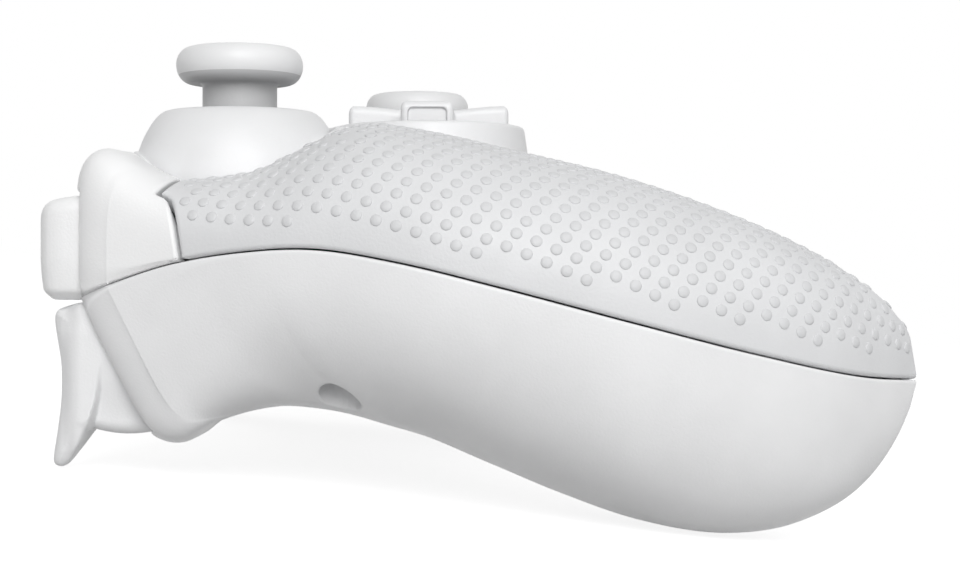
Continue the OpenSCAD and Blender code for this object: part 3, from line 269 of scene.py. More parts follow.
def normals_at(surface, params, step):
    """Unit normals by small steps along both parameters."""
    e = np.eye(2) * step
    du = surface(params + e[0]) - surface(params - e[0])
    dv = surface(params + e[1]) - surface(params - e[1])
    n = np.cross(du, dv)
    return n / np.maximum(np.linalg.norm(n, axis=1), 1e-12)[:, None]


def rounded(surface, field, radius, out, step):
    """A surface that turns down along its normal where the field runs out, as a moulded edge does."""
    def drop(params):
        d = np.clip(field(params), 0, radius)
        return radius - np.sqrt(np.maximum(0, radius ** 2 - (radius - d) ** 2))

    def moved(params):
        return surface(params) - out * normals_at(surface, params, step) * drop(params)[:, None]
    return moved


def patch(us, vs, surface, field, radius, out, wall, step=1e-3):
    """Points, normals and faces of a trimmed patch with rounded edges and a wall turned in along them.
    out is 1 where du x dv points out of the piece. wall(points, normals) gives the foot of the edge wall."""
    params, quads = grid(us, vs)
    params, faces = trim(params, quads, field, [radius * r for r in ROUND])
    used = sorted({i for f in faces for i in f})
    number = {i: k for k, i in enumerate(used)}
    params, faces = params[used], [[number[i] for i in f] for f in faces]
    flat = out * normals_at(surface, params, step)
    shape = rounded(surface, field, radius, out, step)
    points, normals = shape(params), out * normals_at(shape, params, step)
    sides = {}
    for f in faces:
        for a, b in zip(f, f[1:] + f[:1]):
            sides[(a, b)] = True
    rim = [(a, b) for a, b in sides if (b, a) not in sides]
    ends = sorted({i for edge in rim for i in edge})
    foot = {i: len(points) + k for k, i in enumerate(ends)}
    walls = [[b, a, foot[a], foot[b]] for a, b in rim]
    points = np.vstack([points, wall(points[ends], flat[ends])])
    turned = np.zeros_like(points)
    for w in walls:
        a, b, c, d = points[w]
        turned[w] += out * np.cross(c - a, d - b)
    size = np.linalg.norm(turned, axis=1)
    normals = np.vstack([normals, normals[ends]])
    normals[size > 0] = turned[size > 0] / size[size > 0][:, None]
    faces = faces + walls
    return points, normals, faces if out > 0 else [f[::-1] for f in faces]


# Solids from distance fields, negative inside
def smooth_max(a, b, k):
    h = np.maximum(k - np.abs(a - b), 0) / k
    return np.maximum(a, b) + h * h * k / 4


def smooth_min(a, b, k):
    return -smooth_max(-a, -b, k)


def curve(points, per_span=5):
    """Smooth open curve through points."""
    p = np.array(points, float)
    p = np.vstack([2 * p[0] - p[1], p, 2 * p[-1] - p[-2]])
    rows = []
    for a, b, c, d in zip(p, p[1:], p[2:], p[3:]):
        for f in np.arange(per_span) / per_span:
            rows.append(0.5 * (2 * b + (c - a) * f + (2 * a - 5 * b + 4 * c - d) * f ** 2
                               + (3 * b - a - 3 * c + d) * f ** 3))
    return [tuple(r) for r in rows] + [tuple(p[-2])]


def gradient(field, p, step=0.03):
    e = np.eye(3) * step
    return np.stack([field(p + d) - field(p - d) for d in e], 1) / (2 * step)


def net(field, low, high, cell):
    """Points, normals and faces of the surface where a field is zero: one point in each cell it passes through."""
    axes = [np.arange(a, b + cell, cell) for a, b in zip(low, high)]
    corners = np.stack(np.meshgrid(*axes, indexing="ij"), -1)
    shape = corners.shape[:3]
    values = field(corners.reshape(-1, 3)).reshape(shape)
    inside = values < 0
    cells = tuple(n - 1 for n in shape)
    window = lambda o: tuple(slice(a, a + n) for a, n in zip(o, cells))
    total, hits = np.zeros(cells + (3,)), np.zeros(cells)
    for axis in range(3):
        for first in (0, 1):
            for second in (0, 1):
                start = np.zeros(3, int)
                start[(axis + 1) % 3], start[(axis + 2) % 3] = first, second
                end = start.copy()
                end[axis] = 1
                a, b = values[window(start)], values[window(end)]
                crossed = (a < 0) != (b < 0)
                total += crossed[..., None] * start
                total[..., axis] += np.where(crossed, a / np.where(crossed, a - b, 1), 0)
                hits += crossed
    mixed = hits > 0
    index = np.full(cells, -1)
    index[mixed] = np.arange(mixed.sum())
    points = np.array(low) + (np.argwhere(mixed) + total[mixed] / hits[mixed][:, None]) * cell
    for _ in range(4):
        g = gradient(field, points)
        move = field(points)[:, None] * g / np.maximum((g * g).sum(1), 0.2)[:, None]
        points = points - np.clip(move, -cell / 2, cell / 2)
    faces = []
    for axis in range(3):
        u, v = np.eye(3, dtype=int)[(axis + 1) % 3], np.eye(3, dtype=int)[(axis + 2) % 3]
        ahead = np.roll(inside, -1, axis)
        at = np.argwhere(inside != ahead)
        at = at[(at > 0).all(1) & (at < np.array(cells)).all(1)]
        quads = np.stack([index[tuple(c.T)] for c in (at, at - u, at - u - v, at - v)], 1)
        out = inside[tuple(at.T)]
        faces.append(np.where(out[:, None], quads, quads[:, ::-1]))
    g = gradient(field, points)
    return points, g / np.maximum(np.linalg.norm(g, axis=1), 1e-9)[:, None], np.vstack(faces)


# Placing
UP = Vector(next(j for j in frame["joints"] if j["name"] == "left_stick_press")["axis"]) * -1
PIVOT = Vector(next(j for j in frame["joints"] if j["name"] == "left_stick_forward")["pos_m"])
TURN = Matrix((Vector((1, 0, 0)), UP.cross(Vector((1, 0, 0))), UP)).transposed()
SLOT_OF = {subpart["node"]: subpart["material_slot"] for subpart in frame["record"]["subparts"]}
SHIFT = PIVOT - TURN @ (Vector((*LEFT_STICK, PIVOT_Z)) * 0.001)


def place(points):
    return np.array(points) * 0.001 @ np.array(TURN).T + np.array(SHIFT)


def piece(name, points, faces, material, body="root", replaces=(), normals=None, smooth=True):
    """A mesh object from points in the level frame, riding on a body."""
    mesh = bpy.data.meshes.new(name)
    mesh.from_pydata(place(points).tolist(), [], [list(map(int, f)) for f in faces])
    mesh.validate()
    mesh.polygons.foreach_set("use_smooth", [smooth] * len(mesh.polygons))
    if normals is not None:
        mesh.normals_split_custom_set_from_vertices((np.array(normals) @ np.array(TURN).T).tolist())
    obj = bpy.data.objects.new(name, mesh)
    bpy.context.scene.collection.objects.link(obj)
    mesh.materials.append(material)
    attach(obj, body)
    if replaces:
        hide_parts(*replaces)
    return obj


# Materials
def mix_noise(tree, scale, detail, low, high, target):
    """A noise in object space, mapped from low to high onto a socket."""
    links, n = tree.links, tree.nodes
    coord = n.new("ShaderNodeTexCoord")
    noise = n.new("ShaderNodeTexNoise")
    noise.inputs["Scale"].default_value = scale
    noise.inputs["Detail"].default_value = detail
    ramp = n.new("ShaderNodeMapRange")
    ramp.inputs["From Min"].default_value = 0.3
    ramp.inputs["From Max"].default_value = 0.7
    ramp.inputs["To Min"].default_value = low
    ramp.inputs["To Max"].default_value = high
    links.new(coord.outputs["Object"], noise.inputs["Vector"])
    links.new(noise.outputs["Fac"], ramp.inputs["Value"])
    links.new(ramp.outputs["Result"], target)
    return noise


def moulded(name, colour, rough, grain=3200, depth=0.12, shade=0.03, metal=0.0, sheen=0.0):
    """Moulded or machined surface: faint cloudy tint, uneven gloss and a fine spark texture."""
    mat = bpy.data.materials.new(name)
    mat.use_nodes = True
    tree = mat.node_tree
    shader = tree.nodes["Principled BSDF"]
    shader.inputs["Metallic"].default_value = metal
    shader.inputs["Sheen Weight"].default_value = sheen
    tint = tree.nodes.new("ShaderNodeMix")
    tint.data_type = "RGBA"
    tint.inputs[6].default_value = (*[c * (1 - shade) for c in colour], 1)
    tint.inputs[7].default_value = (*[min(1, c * (1 + shade)) for c in colour], 1)
    mix_noise(tree, 90, 3, 0, 1, tint.inputs[0])
    tree.links.new(tint.outputs[2], shader.inputs["Base Color"])
    mix_noise(tree, 260, 4, rough - 0.05, rough + 0.05, shader.inputs["Roughness"])
    bump = tree.nodes.new("ShaderNodeBump")
    bump.inputs["Strength"].default_value = depth
    bump.inputs["Distance"].default_value = 0.0001
    mix_noise(tree, grain, 2, 0, 1, bump.inputs["Height"])
    tree.links.new(bump.outputs["Normal"], shader.inputs["Normal"])
    return mat


WHITE = moulded("shell_plastic", (0.86, 0.862, 0.868), 0.42)
BRIGHT = moulded("shoulder_plastic", (0.92, 0.922, 0.925), 0.4, shade=0.02)
PANEL = moulded("panel_plastic", (0.735, 0.74, 0.75), 0.5, grain=2600, depth=0.16)
DOTS = moulded("panel_dot_plastic", (0.67, 0.675, 0.685), 0.5, grain=2600, depth=0.16)
FACE = moulded("face_plastic", (0.82, 0.823, 0.83), 0.42)
PAD = moulded("pad_plastic", (0.79, 0.793, 0.8), 0.38, grain=2800, depth=0.1)
# Darker grey for the stick's stem and the underside of its cap: painted shade where the cap shadows what lies beneath
# it
UNDER_CAP_SHADE = moulded("stem_painted_shade", (0.58, 0.582, 0.588), 0.45, grain=2800, depth=0.1)
CONTROL = moulded("control_plastic", (0.83, 0.833, 0.838), 0.38, grain=2800, depth=0.1)
GIMBAL = moulded("gimbal_plastic", (0.75, 0.75, 0.74), 0.45)
BOARD = moulded("circuit_board", (0.05, 0.2, 0.12), 0.35, grain=900, depth=0.2, shade=0.15)
RUBBER = moulded("membrane_rubber", (0.6, 0.62, 0.64), 0.65, shade=0.05)
WRAP = moulded("battery_wrap", (0.06, 0.07, 0.09), 0.4, shade=0.2)
SOCKET = moulded("socket_plastic", (0.035, 0.035, 0.04), 0.4, shade=0.2)
LENS = moulded("light_lens", (0.7, 0.74, 0.78), 0.25, depth=0.04)
BRASS = moulded("weight_brass", (0.6, 0.46, 0.2), 0.3, grain=1500, metal=1.0, shade=0.08)
STEEL = moulded("bright_steel", (0.55, 0.56, 0.58), 0.3, grain=1500, metal=1.0, shade=0.08)
SLOT_MATERIALS = {
    "shell_white": WHITE, "panel_grey": PANEL, "trigger_white": WHITE, "stick_white": CONTROL,
    "button_white": CONTROL, "gimbal_plastic": GIMBAL, "circuit_board": BOARD, "membrane_rubber": RUBBER,
    "battery_wrap": WRAP, "socket_plastic": SOCKET, "light_lens": LENS, "weight_brass": BRASS, "steel": STEEL}


def dress_nodes():
    """Gives every CAD node the procedural material of its slot in the record."""
    for node, slot in SLOT_OF.items():
        materials = nodes[node].data.materials
        materials.clear()
        materials.append(SLOT_MATERIALS[slot])


# Shells
def inward(points, normals):
    return points - normals * WALL


def seam_field(p, up):
    return up * (p[:, 2] - height(SEAM, p[:, 1])) - SEAM_GAP / 2


def panel_field(p):
    cuts = [face_plan(p) - SEAM_GAP, shoulder_side(p) - GROOVE, seam_field(p, 1)]
    return np.minimum.reduce(cuts)


def shell_patch(name, us, vs, up, field, radius, material, replaces, wall=inward):
    surface = lambda q: skin(q, up)
    points, normals, faces = patch(us, vs, surface, lambda q: field(surface(q)), radius, -up, wall)
    return piece(name, points, faces, material, replaces=replaces, normals=normals)


def steps(a, b, n):
    return np.linspace(a, b, n + 1)


def rim_steps(a, b, n, square=6):
    """Even steps across the skin, with more of them up the steep walls at its rims."""
    rise = np.linspace(0.15, 0.95, 16)
    outer, inner = (2 / math.pi * np.arcsin((1 - rise ** k) ** (1 / k)) for k in (square, 3.6))
    every = np.unique(np.concatenate([steps(a, b, n), -outer, inner]))
    return every[(every >= a) & (every <= b)]


def dot_places(side):
    """Skin parameters of the dots: staggered rows at even girth from a guide, stepping along the grip."""
    ts, ss = side * np.linspace(3, LAST, 420), np.linspace(-1, 1, 260)
    sheet = skin(np.stack(np.meshgrid(ts, ss, indexing="ij"), -1).reshape(-1, 2), 1).reshape(420, 260, 3)
    ys = np.linspace(-55, 48, 2000)
    path = np.concatenate([[0], np.cumsum(np.hypot(np.diff(ys), np.diff(height(CREST, ys))))])
    places = []
    for step, y in enumerate(np.interp(np.arange(0, path[-1], DOT_PITCH / 2), path, ys)):
        ring = []
        for j, s in enumerate(ss):
            column = sheet[::-1, j]
            if column[0, 1] < y < column[-1, 1]:
                x, z, t = (np.interp(y, column[:, 1], v) for v in (column[:, 0], column[:, 2], ts[::-1]))
                ring.append((abs(x), z, t, s))
        if len(ring) < 8:
            continue
        x, z, t, s = np.array(ring).T
        girth = np.concatenate([[0], np.cumsum(np.hypot(np.diff(x), np.diff(z)))])
        for row in range(-6, 40):
            g = height(DOT_GUIDE, y) + row * DOT_ROW
            if row % 2 == step % 2 and DOT_MARGIN < g < girth[-1] - DOT_MARGIN:
                places.append((np.interp(g, girth, t), np.interp(g, girth, s)))
    return np.array(places)


def thinned(places, at):
    """Leaves out the dots that would crowd those in front of them, as the grip's end narrows."""
    kept = []
    for i in np.argsort(-at[:, 1], kind="stable"):
        if not kept or np.min(np.linalg.norm(at[kept] - at[i], axis=1)) > 0.8 * DOT_PITCH:
            kept.append(i)
    return places[kept], at[kept]


def dots(side):
    """Low round dots on a grip panel, clear of its edges."""
    surface = lambda q: skin(q, 1)
    places = dot_places(side)
    at = surface(places)
    clear = np.minimum.reduce([face_plan(at) - 1.5, shoulder_side(at) - 1.7, seam_field(at, 1) - 2.4]) > 0
    places, at = thinned(places[clear], at[clear])
    out = -normals_at(surface, places, 1e-3)
    along = np.cross(out, (1.0, 0, 0))
    along /= np.linalg.norm(along, axis=1)[:, None]
    across = np.cross(out, along)
    turns = np.arange(14) * 2 * math.pi / 14
    rises = np.radians([-6, 14, 36, 60, 82])
    points, normals = [], []
    for rise in rises:
        for turn in turns:
            flat = along * math.cos(turn) + across * math.sin(turn)
            points.append(at + flat * DOT_R * math.cos(rise) + out * DOT_H * math.sin(rise))
            n = flat * math.cos(rise) / DOT_R + out * math.sin(rise) / DOT_H
            normals.append(n / np.linalg.norm(n, axis=1)[:, None])
    count, rings = len(turns), len(rises)
    shape = [[r * count + i, r * count + (i + 1) % count, (r + 1) * count + (i + 1) % count, (r + 1) * count + i]
             for r in range(rings - 1) for i in range(count)] + [[(rings - 1) * count + i for i in range(count)]]
    size = count * rings
    points, normals = (np.stack(v, 1).reshape(-1, 3) for v in (points, normals))
    faces = [[k * size + i for i in f] for k in range(len(at)) for f in shape]
    return points, normals, faces


def grip_panels():
    for side, name in ((-1, "left_grip_panel"), (1, "right_grip_panel")):
        surface = lambda q: skin(q, 1)
        field = lambda q: panel_field(surface(q))
        ts = steps(3, END, 200) if side > 0 else steps(-END, -3, 200)
        points, normals, faces = patch(ts, rim_steps(-1, 1, 130), surface, field, 0.6, -1, inward)
        spots, spot_normals, spot_faces = dots(side)
        plain = len(faces)
        faces = faces + [[i + len(points) for i in f] for f in spot_faces]
        panel = piece(name + "_skin", np.vstack([points, spots]), faces, PANEL, replaces=[name],
                      normals=np.vstack([normals, spot_normals]))
        panel.data.materials.append(DOTS)
        panel.data.polygons.foreach_set("material_index", [0] * plain + [1] * len(spot_faces))


def shoulder():
    def field(p):
        x = np.abs(p[:, 0])
        notch = np.maximum.reduce([BUMPER_X[0] - BUMPER_ROOM - x, x - BUMPER_X[1] - BUMPER_ROOM,
                                   p[:, 2] - BUMPER_TOP - MOVING_GAP])
        port = pill(p[:, 0], p[:, 2] - 7.6, 9.7, 3.9)
        return np.minimum.reduce([-shoulder_side(p), face_plan(p) - SEAM_GAP, seam_field(p, 1), notch, port])
    shell_patch("shoulder_skin", steps(-7, 7, 330), rim_steps(-1, 0, 90), 1, field, 0.5, BRIGHT, ["shoulder_housing"])


def bottom():
    def field(p):
        x = np.abs(p[:, 0])
        drum = np.maximum.reduce([TRIGGER_X[0] - MOVING_GAP - x, x - TRIGGER_X[1] - MOVING_GAP,
                                  np.hypot(p[:, 1] - TRIGGER_AXIS[0], p[:, 2] - TRIGGER_AXIS[1]) - TRIGGER_R - MOVING_GAP])
        folded = np.stack([x, p[:, 1]], 1)
        holes = [circle(folded, c, RECESS_R) for c in CASE_SCREWS]
        return np.minimum.reduce([seam_field(p, -1), drum] + holes)

    def wall(points, normals):
        """Edges turn inward, and the screw recesses go straight up to their seats."""
        foot = inward(points, normals)
        for centre, seat in zip(CASE_SCREWS, CASE_SEATS):
            near = np.hypot(np.abs(points[:, 0]) - centre[0], points[:, 1] - centre[1]) < RECESS_R + 0.2
            foot[near] = points[near]
            foot[near, 2] = seat
        return foot
    shell_patch("bottom_skin", steps(-END, END, 460), rim_steps(-1, 1, 150), -1, field, 0.4, WHITE,
                ["bottom_shell"], wall)


def face():
    def field(p):
        folded = p[:, :2]
        holes = [circle(p, c, r) for c, r in ((LEFT_STICK, DOME_R - 1.4), (RIGHT_STICK, DOME_R - 1.4),
                                              (DPAD, PLINTH_R - 1), (GROUP, GROUP_R - 1), (HOME, HOME_HOLE))]
        holes += [pill(folded[:, 0] - c[0], folded[:, 1] - c[1], *PILL_HOLE) for c in PILLS]
        holes.append(pill(folded[:, 0] - LIGHT[0], folded[:, 1] - LIGHT[1], *LIGHT_HOLE))
        jack = np.maximum(np.hypot(p[:, 0], p[:, 2] - 9) - 3.35, p[:, 1])
        return np.minimum.reduce([-face_plan(p), seam_field(p, 1), jack] + holes)
    shell_patch("face_skin", steps(-7, 7, 300), rim_steps(-1, 1, 190), 1, field, 0.4, FACE, ["face_shell"])


def lathe(name, profile, centre, material, body="root", replaces=(), count=128):
    """A turned piece from a profile of (radius, z), about an upright axis."""
    profile = np.array(profile, float)
    a = np.arange(count) * 2 * math.pi / count
    points = np.stack([centre[0] + np.outer(np.cos(a), profile[:, 0]), centre[1] + np.outer(np.sin(a), profile[:, 0]),
                       np.tile(profile[:, 1], (count, 1))], -1).reshape(-1, 3)
    n = len(profile)
    faces = [[i * n + j, ((i + 1) % count) * n + j, ((i + 1) % count) * n + j + 1, i * n + j + 1]
             for i in range(count) for j in range(n - 1)]
    obj = piece(name, points, faces, material, body, replaces)
    bm = bmesh.new()
    bm.from_mesh(obj.data)
    bmesh.ops.remove_doubles(bm, verts=bm.verts, dist=1e-7)
    bmesh.ops.recalc_face_normals(bm, faces=bm.faces)
    bm.to_mesh(obj.data)
    bm.free()
    return obj


def arc(centre, radius, start, stop, count=8):
    """Points of an arc in a profile, from angle start to stop in degrees."""
    a = np.radians(np.linspace(start, stop, count))
    rx, rz = radius if np.ndim(radius) else (radius, radius)
    return [(centre[0] + rx * math.cos(v), centre[1] + rz * math.sin(v)) for v in a]


def domes():
    lip = 0.5
    top_r = OPENING_R + 0.4
    for name, centre in (("left_dome", LEFT_STICK), ("right_dome", RIGHT_STICK)):
        turn = np.linspace(math.radians(88), 0, 40)
        outside = [(top_r + (DOME_R - top_r) * math.cos(a) ** DOME_FULL, DOME_TOP - DOME_H + DOME_H * math.sin(a) ** DOME_FULL)
                   for a in turn]
        profile = ([(OPENING_R, DOME_TOP - 2)] + arc((OPENING_R + lip, DOME_TOP - lip), lip, 180, 95, 6) + outside
                   + [(DOME_R, DOME_FOOT)])
        lathe(name, profile, centre, FACE, replaces=["face_shell"], count=160)


def caps():
    r, under = CAP_D / 2, CAP_TOP - CAP_H
    middle = CAP_TOP - 0.48 * CAP_H
    for side, centre in (("left", LEFT_STICK), ("right", RIGHT_STICK)):
        skirt = [(SKIRT_R * math.sin(a), PIVOT_Z + SKIRT_R * math.cos(a)) for a in np.radians(np.arange(62, 30, -2))]
        profile = (skirt + [(STEM_D / 2 + 0.1, PIVOT_Z + SKIRT_R * math.cos(math.radians(30.5)) + 0.2),
                            (STEM_D / 2, PIVOT_Z + 9.6), (STEM_D / 2, under - 0.5)]
                   + arc((STEM_D / 2 + 0.5, under - 0.5), 0.5, 180, 90, 5)
                   + arc((r - 1.9, middle), (1.9, middle - under), -88, 0, 14)
                   + arc((r - 1.9, middle), (1.9, CAP_TOP - middle), 4, 86, 14)
                   + [(r - 2.6, CAP_TOP), (r - 3.0, CAP_TOP - 0.08), (r - 3.4, CAP_TOP - 0.34), (r - 4.4, CAP_TOP - 0.5),
                      (2, CAP_TOP - 0.7), (0, CAP_TOP - 0.72)])
        cap = lathe(side + "_cap", profile, centre, CONTROL, side + "_stick_cap", [side + "_stick_cap"], count=160)
        # Faces below the cap's widest part take the darker grey: painted shade under the cap's rim and down the stem
        cap.data.materials.append(UNDER_CAP_SHADE)
        levels = [(face.center - SHIFT).dot(UP) * 1000 for face in cap.data.polygons]
        cap.data.polygons.foreach_set("material_index", [int(z < middle - 1.5) for z in levels])


def deck(name, centre, r, draft, top, foot, hole, material, edge=0.7):
    """Raised round base: a deck with openings and a drafted wall."""
    surface = lambda q: np.stack([q[:, 0], q[:, 1], np.full(len(q), top)], 1)
    field = lambda q: np.minimum(-circle(q, centre, r), hole(q))

    def wall(points, normals):
        out = np.hypot(points[:, 0] - centre[0], points[:, 1] - centre[1]) > r - 0.1
        foot_points = points.copy()
        foot_points[:, 2] = np.where(out, foot, top - 2)
        k = (r + draft) / r
        foot_points[out, :2] = (points[out, :2] - centre) * k + centre
        return foot_points
    us = steps(centre[0] - r - 0.5, centre[0] + r + 0.5, 90)
    vs = steps(centre[1] - r - 0.5, centre[1] + r + 0.5, 90)
    points, normals, faces = patch(us, vs, surface, field, edge, 1, wall)
    return piece(name, points, faces, material, replaces=["face_shell"])


def decks():
    opening = lambda q: cross(q[:, 0] - DPAD[0], q[:, 1] - DPAD[1], DPAD_SPAN + 2 * DPAD_ROOM, DPAD_ARM + 2 * DPAD_ROOM)
    deck("pad_plinth", DPAD, PLINTH_R, PLINTH_DRAFT, PLINTH_TOP, PLINTH_FOOT, opening, FACE)
    spots = [(0, -BUTTON_RING), (BUTTON_RING, 0), (-BUTTON_RING, 0), (0, BUTTON_RING)]
    holes = lambda q: np.minimum.reduce([circle(q, (GROUP[0] + a, GROUP[1] + b), BUTTON_HOLE) for a, b in spots])
    deck("button_plinth", GROUP, GROUP_R, GROUP_DRAFT, GROUP_TOP, PLINTH_FOOT, holes, FACE)


def solid(name, field, low, high, cell, material, body, replaces):
    points, normals, faces = net(field, low, high, cell)
    return piece(name, points, faces, material, body, replaces, normals)


def mirrored_box(side, x_range, low, high):
    """Lowest and highest corner of a box on one side of the part."""
    a, b = sorted(side * x for x in x_range)
    return (a, *low), (b, *high)


def on_drum(angle, swell):
    a, r = math.radians(angle), TRIGGER_R + swell
    return (TRIGGER_AXIS[0] + r * math.cos(a), TRIGGER_AXIS[1] + r * math.sin(a))


def triggers():
    """Round body about the pin, and a flared lip whose front edge is broken by a wide soft chamfer."""
    drum = [on_drum(a, 0.2) for a in range(-114, -63, 3)]
    heart = (TRIGGER_AXIS[0] - 2, TRIGGER_AXIS[1])
    lip = curve(LIP)
    outline = drum[:15] + lip + [heart]
    flare = lip + curve(LIP_REAR)[1:-1]
    inner, outer = TRIGGER_X
    tongue = [(inner - 5, 10)] + [(inner - 5, -14)] + curve(LIP_EDGE) + [(outer + 0.6, 10)]

    def field(p):
        x, yz = np.abs(p[:, 0]), p[:, 1:]
        y, z = yz.T
        whole, round_part = polygon(yz, outline), polygon(yz, drum + [heart])
        off_lip = polygon(yz, flare)
        away = ease(0, 0.7, off_lip) * ease(-7, -18, z)
        end = outer - LIP_FLARE * away
        front = smooth_max(whole, polygon(np.stack([x, z], 1), tongue), 1.2)
        body = smooth_min(front, round_part, 0.8)
        chamfer = 0.5 + 2.0 * ease(50, 52.6, y) + 0.5 * ease(-6, -3.4, z)
        f = smooth_max(body, x - end, 0.5 + 1.2 * away)
        f = smooth_max(f, (body + x - end + chamfer) / math.sqrt(2), 0.6)
        f = smooth_max(f, inner - x, 0.8)
        off_axis = np.hypot(y - TRIGGER_AXIS[0], z - TRIGGER_AXIS[1])
        hub = np.maximum.reduce([off_axis - 3, inner - x, x - outer + 0.3])
        pocket = np.maximum.reduce([off_axis - 3.6, inner + 5 - x, x - outer + 5])
        f = np.maximum(np.minimum(f, hub), -np.minimum(off_axis - 1.56, pocket))
        return f
    for side, name in ((-1, "left_trigger"), (1, "right_trigger")):
        low, high = mirrored_box(side, (inner - 1, outer + 1), (37, -24), (55, 1))
        solid(name + "_lever", field, low, high, 0.34, WHITE, name, [name])


def bumpers():
    """Bar with a softly crowned end, chamfered along its foot, on an arm that swings about an upright pin."""
    plan = [(22, 46.2)] + curve(BUMPER_PLAN) + [(50, 49.4), (36, 48.4)]
    arm = [(18.4, 43.5), (22.4, 43.8), (22.4, 47.8), (30, 50.2), (30, 48.2), (21.8, 39.9)]

    def field(p):
        x = np.abs(p[:, 0])
        xy = np.stack([x, p[:, 1]], 1)
        y, z = p[:, 1], p[:, 2]
        bar = polygon(xy, plan)
        top = BUMPER_TOP - 0.8 * ease(50, 57, y) - 0.3 * ease(30, 22, x)
        foot = np.where(x < 34.6, 1.2, -1.5)
        crown = 0.035 * np.maximum(np.abs(z - 6) - 2, 0) ** 1.6 * ease(46, 54, y)
        f = smooth_max(bar + crown, z - top, 2.0)
        f = smooth_max(f, foot - z, 0.3)
        f = smooth_max(f, (bar + crown + foot - z + 1.1) / math.sqrt(2), 0.3)
        eye = np.hypot(x - 20, y - 41.6)
        hidden = np.maximum.reduce([np.minimum(polygon(xy, arm), eye - 2.5), 7.2 - z, z - 10.7, 1.26 - eye])
        tappet = np.maximum.reduce([np.abs(x - 50) - 2, 44.6 - y, y - 49.8, 7 - z, z - 9])
        return np.minimum.reduce([f, hidden, tappet])
    for side, name in ((-1, "left_bumper"), (1, "right_bumper")):
        low, high = mirrored_box(side, (16.5, 60.5), (38, -2.6), (57, 12.8))
        solid(name + "_bar", field, low, high, 0.34, BRIGHT, name, [name])


def pad():
    """Cross with arms that rise outwards, a window in the end of each arm, a round flange and a pivot pin."""
    half, arm = DPAD_SPAN / 2, DPAD_ARM / 2
    flange_top = PLINTH_TOP - 2 - 1.4

    def field(p):
        u, w, z = np.abs(p[:, 0] - DPAD[0]), np.abs(p[:, 1] - DPAD[1]), p[:, 2]
        soft = 0.7
        box = lambda a, b, i, j: np.hypot(np.maximum(a - i + soft, 0), np.maximum(b - j + soft, 0)) - soft
        plan = smooth_min(box(u, w, half, arm), box(u, w, arm, half), 0.6)
        reach = np.maximum(u, w)
        top = DPAD_TOP - DPAD_DISH * (1 - ease(-4, 10.6, reach) * ease(-8, 10.6, reach))
        f = smooth_max(plan, z - top, 1.3)
        across = np.minimum(u, w)
        window = np.hypot(np.maximum(across - 2.7 + 0.7, 0), np.maximum(z - top + 1.75, 0)) - 0.7
        window = np.maximum(window, half - 0.5 - reach)
        f = smooth_max(f, -window, 0.25)
        f = np.maximum(f, flange_top - 0.1 - z)
        r = np.hypot(u, w)
        flange = np.maximum.reduce([r - 11.3, z - flange_top, flange_top - 0.6 - z])
        stem = np.maximum.reduce([r - 2.2, 16.5 - z, z - flange_top + 0.3])
        pin = np.maximum(np.hypot(u, z - 17.4) - 0.7, w - 4.3)
        return np.minimum.reduce([f, flange, stem, pin])
    low = (DPAD[0] - 12.4, DPAD[1] - 12.4, 15.6)
    high = (DPAD[0] + 12.4, DPAD[1] + 12.4, 27.4)
    solid("pad_cross", field, low, high, 0.27, PAD, "dpad", ["dpad"])


# Stage
def camera():
    """The viewpoint of the photograph: level with the seam's middle, from the player's left."""
    distance, focal = 297, 1897
    cam = bpy.data.cameras.new("camera")
    cam.sensor_width = 36
    cam.lens = focal / 960 * 36
    obj = bpy.data.objects.new("camera", cam)
    bpy.context.scene.collection.objects.link(obj)
    look = Matrix(((0, 0, -1), (-1, 0, 0), (0, 1, 0)))
    obj.matrix_world = (TURN @ look).to_4x4()
    obj.location = TURN @ Vector((-distance * 0.001, 0, 0)) + SHIFT
    bpy.context.scene.camera = obj


def lamp(name, place_at, size, watts):
    light = bpy.data.lights.new(name, "AREA")
    light.shape = "DISK"
    light.size = size
    light.energy = watts
    obj = bpy.data.objects.new(name, light)
    obj.location = place_at
    obj.rotation_euler = (Vector((0, 0, 0.03)) - Vector(place_at)).to_track_quat("-Z", "Y").to_euler()
    bpy.context.scene.collection.objects.link(obj)


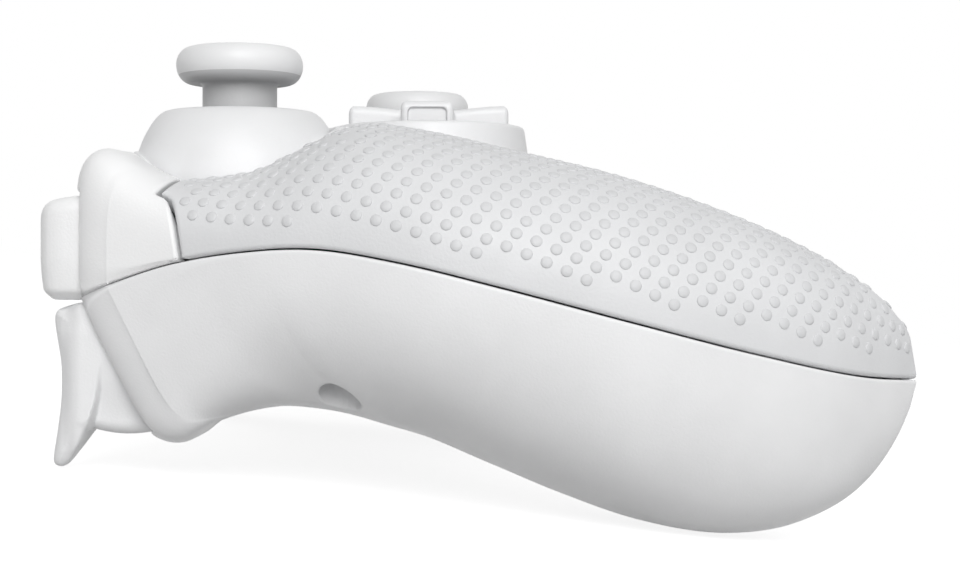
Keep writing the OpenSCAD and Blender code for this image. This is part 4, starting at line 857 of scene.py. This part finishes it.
def seen_directly(tree):
    """1 for rays from the camera and for mirror and glass rays, 0 for light that spreads from surface to surface."""
    path = tree.nodes.new("ShaderNodeLightPath")
    total = path.outputs["Is Camera Ray"]
    for name in ("Is Glossy Ray", "Is Transmission Ray"):
        either = tree.nodes.new("ShaderNodeMath")
        either.operation = "MAXIMUM"
        tree.links.new(total, either.inputs[0])
        tree.links.new(path.outputs[name], either.inputs[1])
        total = either.outputs[0]
    return total


def between(tree, value, low, high, target):
    span = tree.nodes.new("ShaderNodeMapRange")
    span.inputs["To Min"].default_value = low
    span.inputs["To Max"].default_value = high
    tree.links.new(value, span.inputs["Value"])
    tree.links.new(span.outputs["Result"], target)


def stage():
    """A pale floor that meets a white backdrop without a line, a soft key lamp and a weak rear lamp."""
    mesh = bpy.data.meshes.new("floor")
    size = 40
    mesh.from_pydata([(-size, -size, 0), (size, -size, 0), (size, size, 0), (-size, size, 0)], [], [[0, 1, 2, 3]])
    floor = bpy.data.objects.new("floor", mesh)
    bpy.context.scene.collection.objects.link(floor)
    mat = bpy.data.materials.new("floor_white")
    mat.use_nodes = True
    tree = mat.node_tree
    shader = tree.nodes["Principled BSDF"]
    shader.inputs["Base Color"].default_value = (*[FLOOR_SHADE] * 3, 1)
    shader.inputs["Roughness"].default_value = 1
    shader.inputs["Specular IOR Level"].default_value = 0
    shader.inputs["Emission Color"].default_value = (1, 1, 1, 1)
    between(tree, seen_directly(tree), 0, 1 - FLOOR_SHADE * SKY, shader.inputs["Emission Strength"])
    mesh.materials.append(mat)
    world = bpy.data.worlds.new("studio")
    bpy.context.scene.world = world
    world.use_nodes = True
    tree = world.node_tree
    back = tree.nodes["Background"]
    back.inputs["Color"].default_value = (1, 1, 1, 1)
    between(tree, seen_directly(tree), SKY, 1, back.inputs["Strength"])
    lamp("key", (-0.98, -0.05, 0.58), 0.8, 8.6)
    lamp("rear", (-0.5, -0.7, 0.75), 0.8, 1)


bpy.context.scene.view_settings.view_transform = "Standard"
camera()
stage()
dress_nodes()
grip_panels()
shoulder()
bottom()
face()
domes()
caps()
decks()
triggers()
bumpers()
pad()
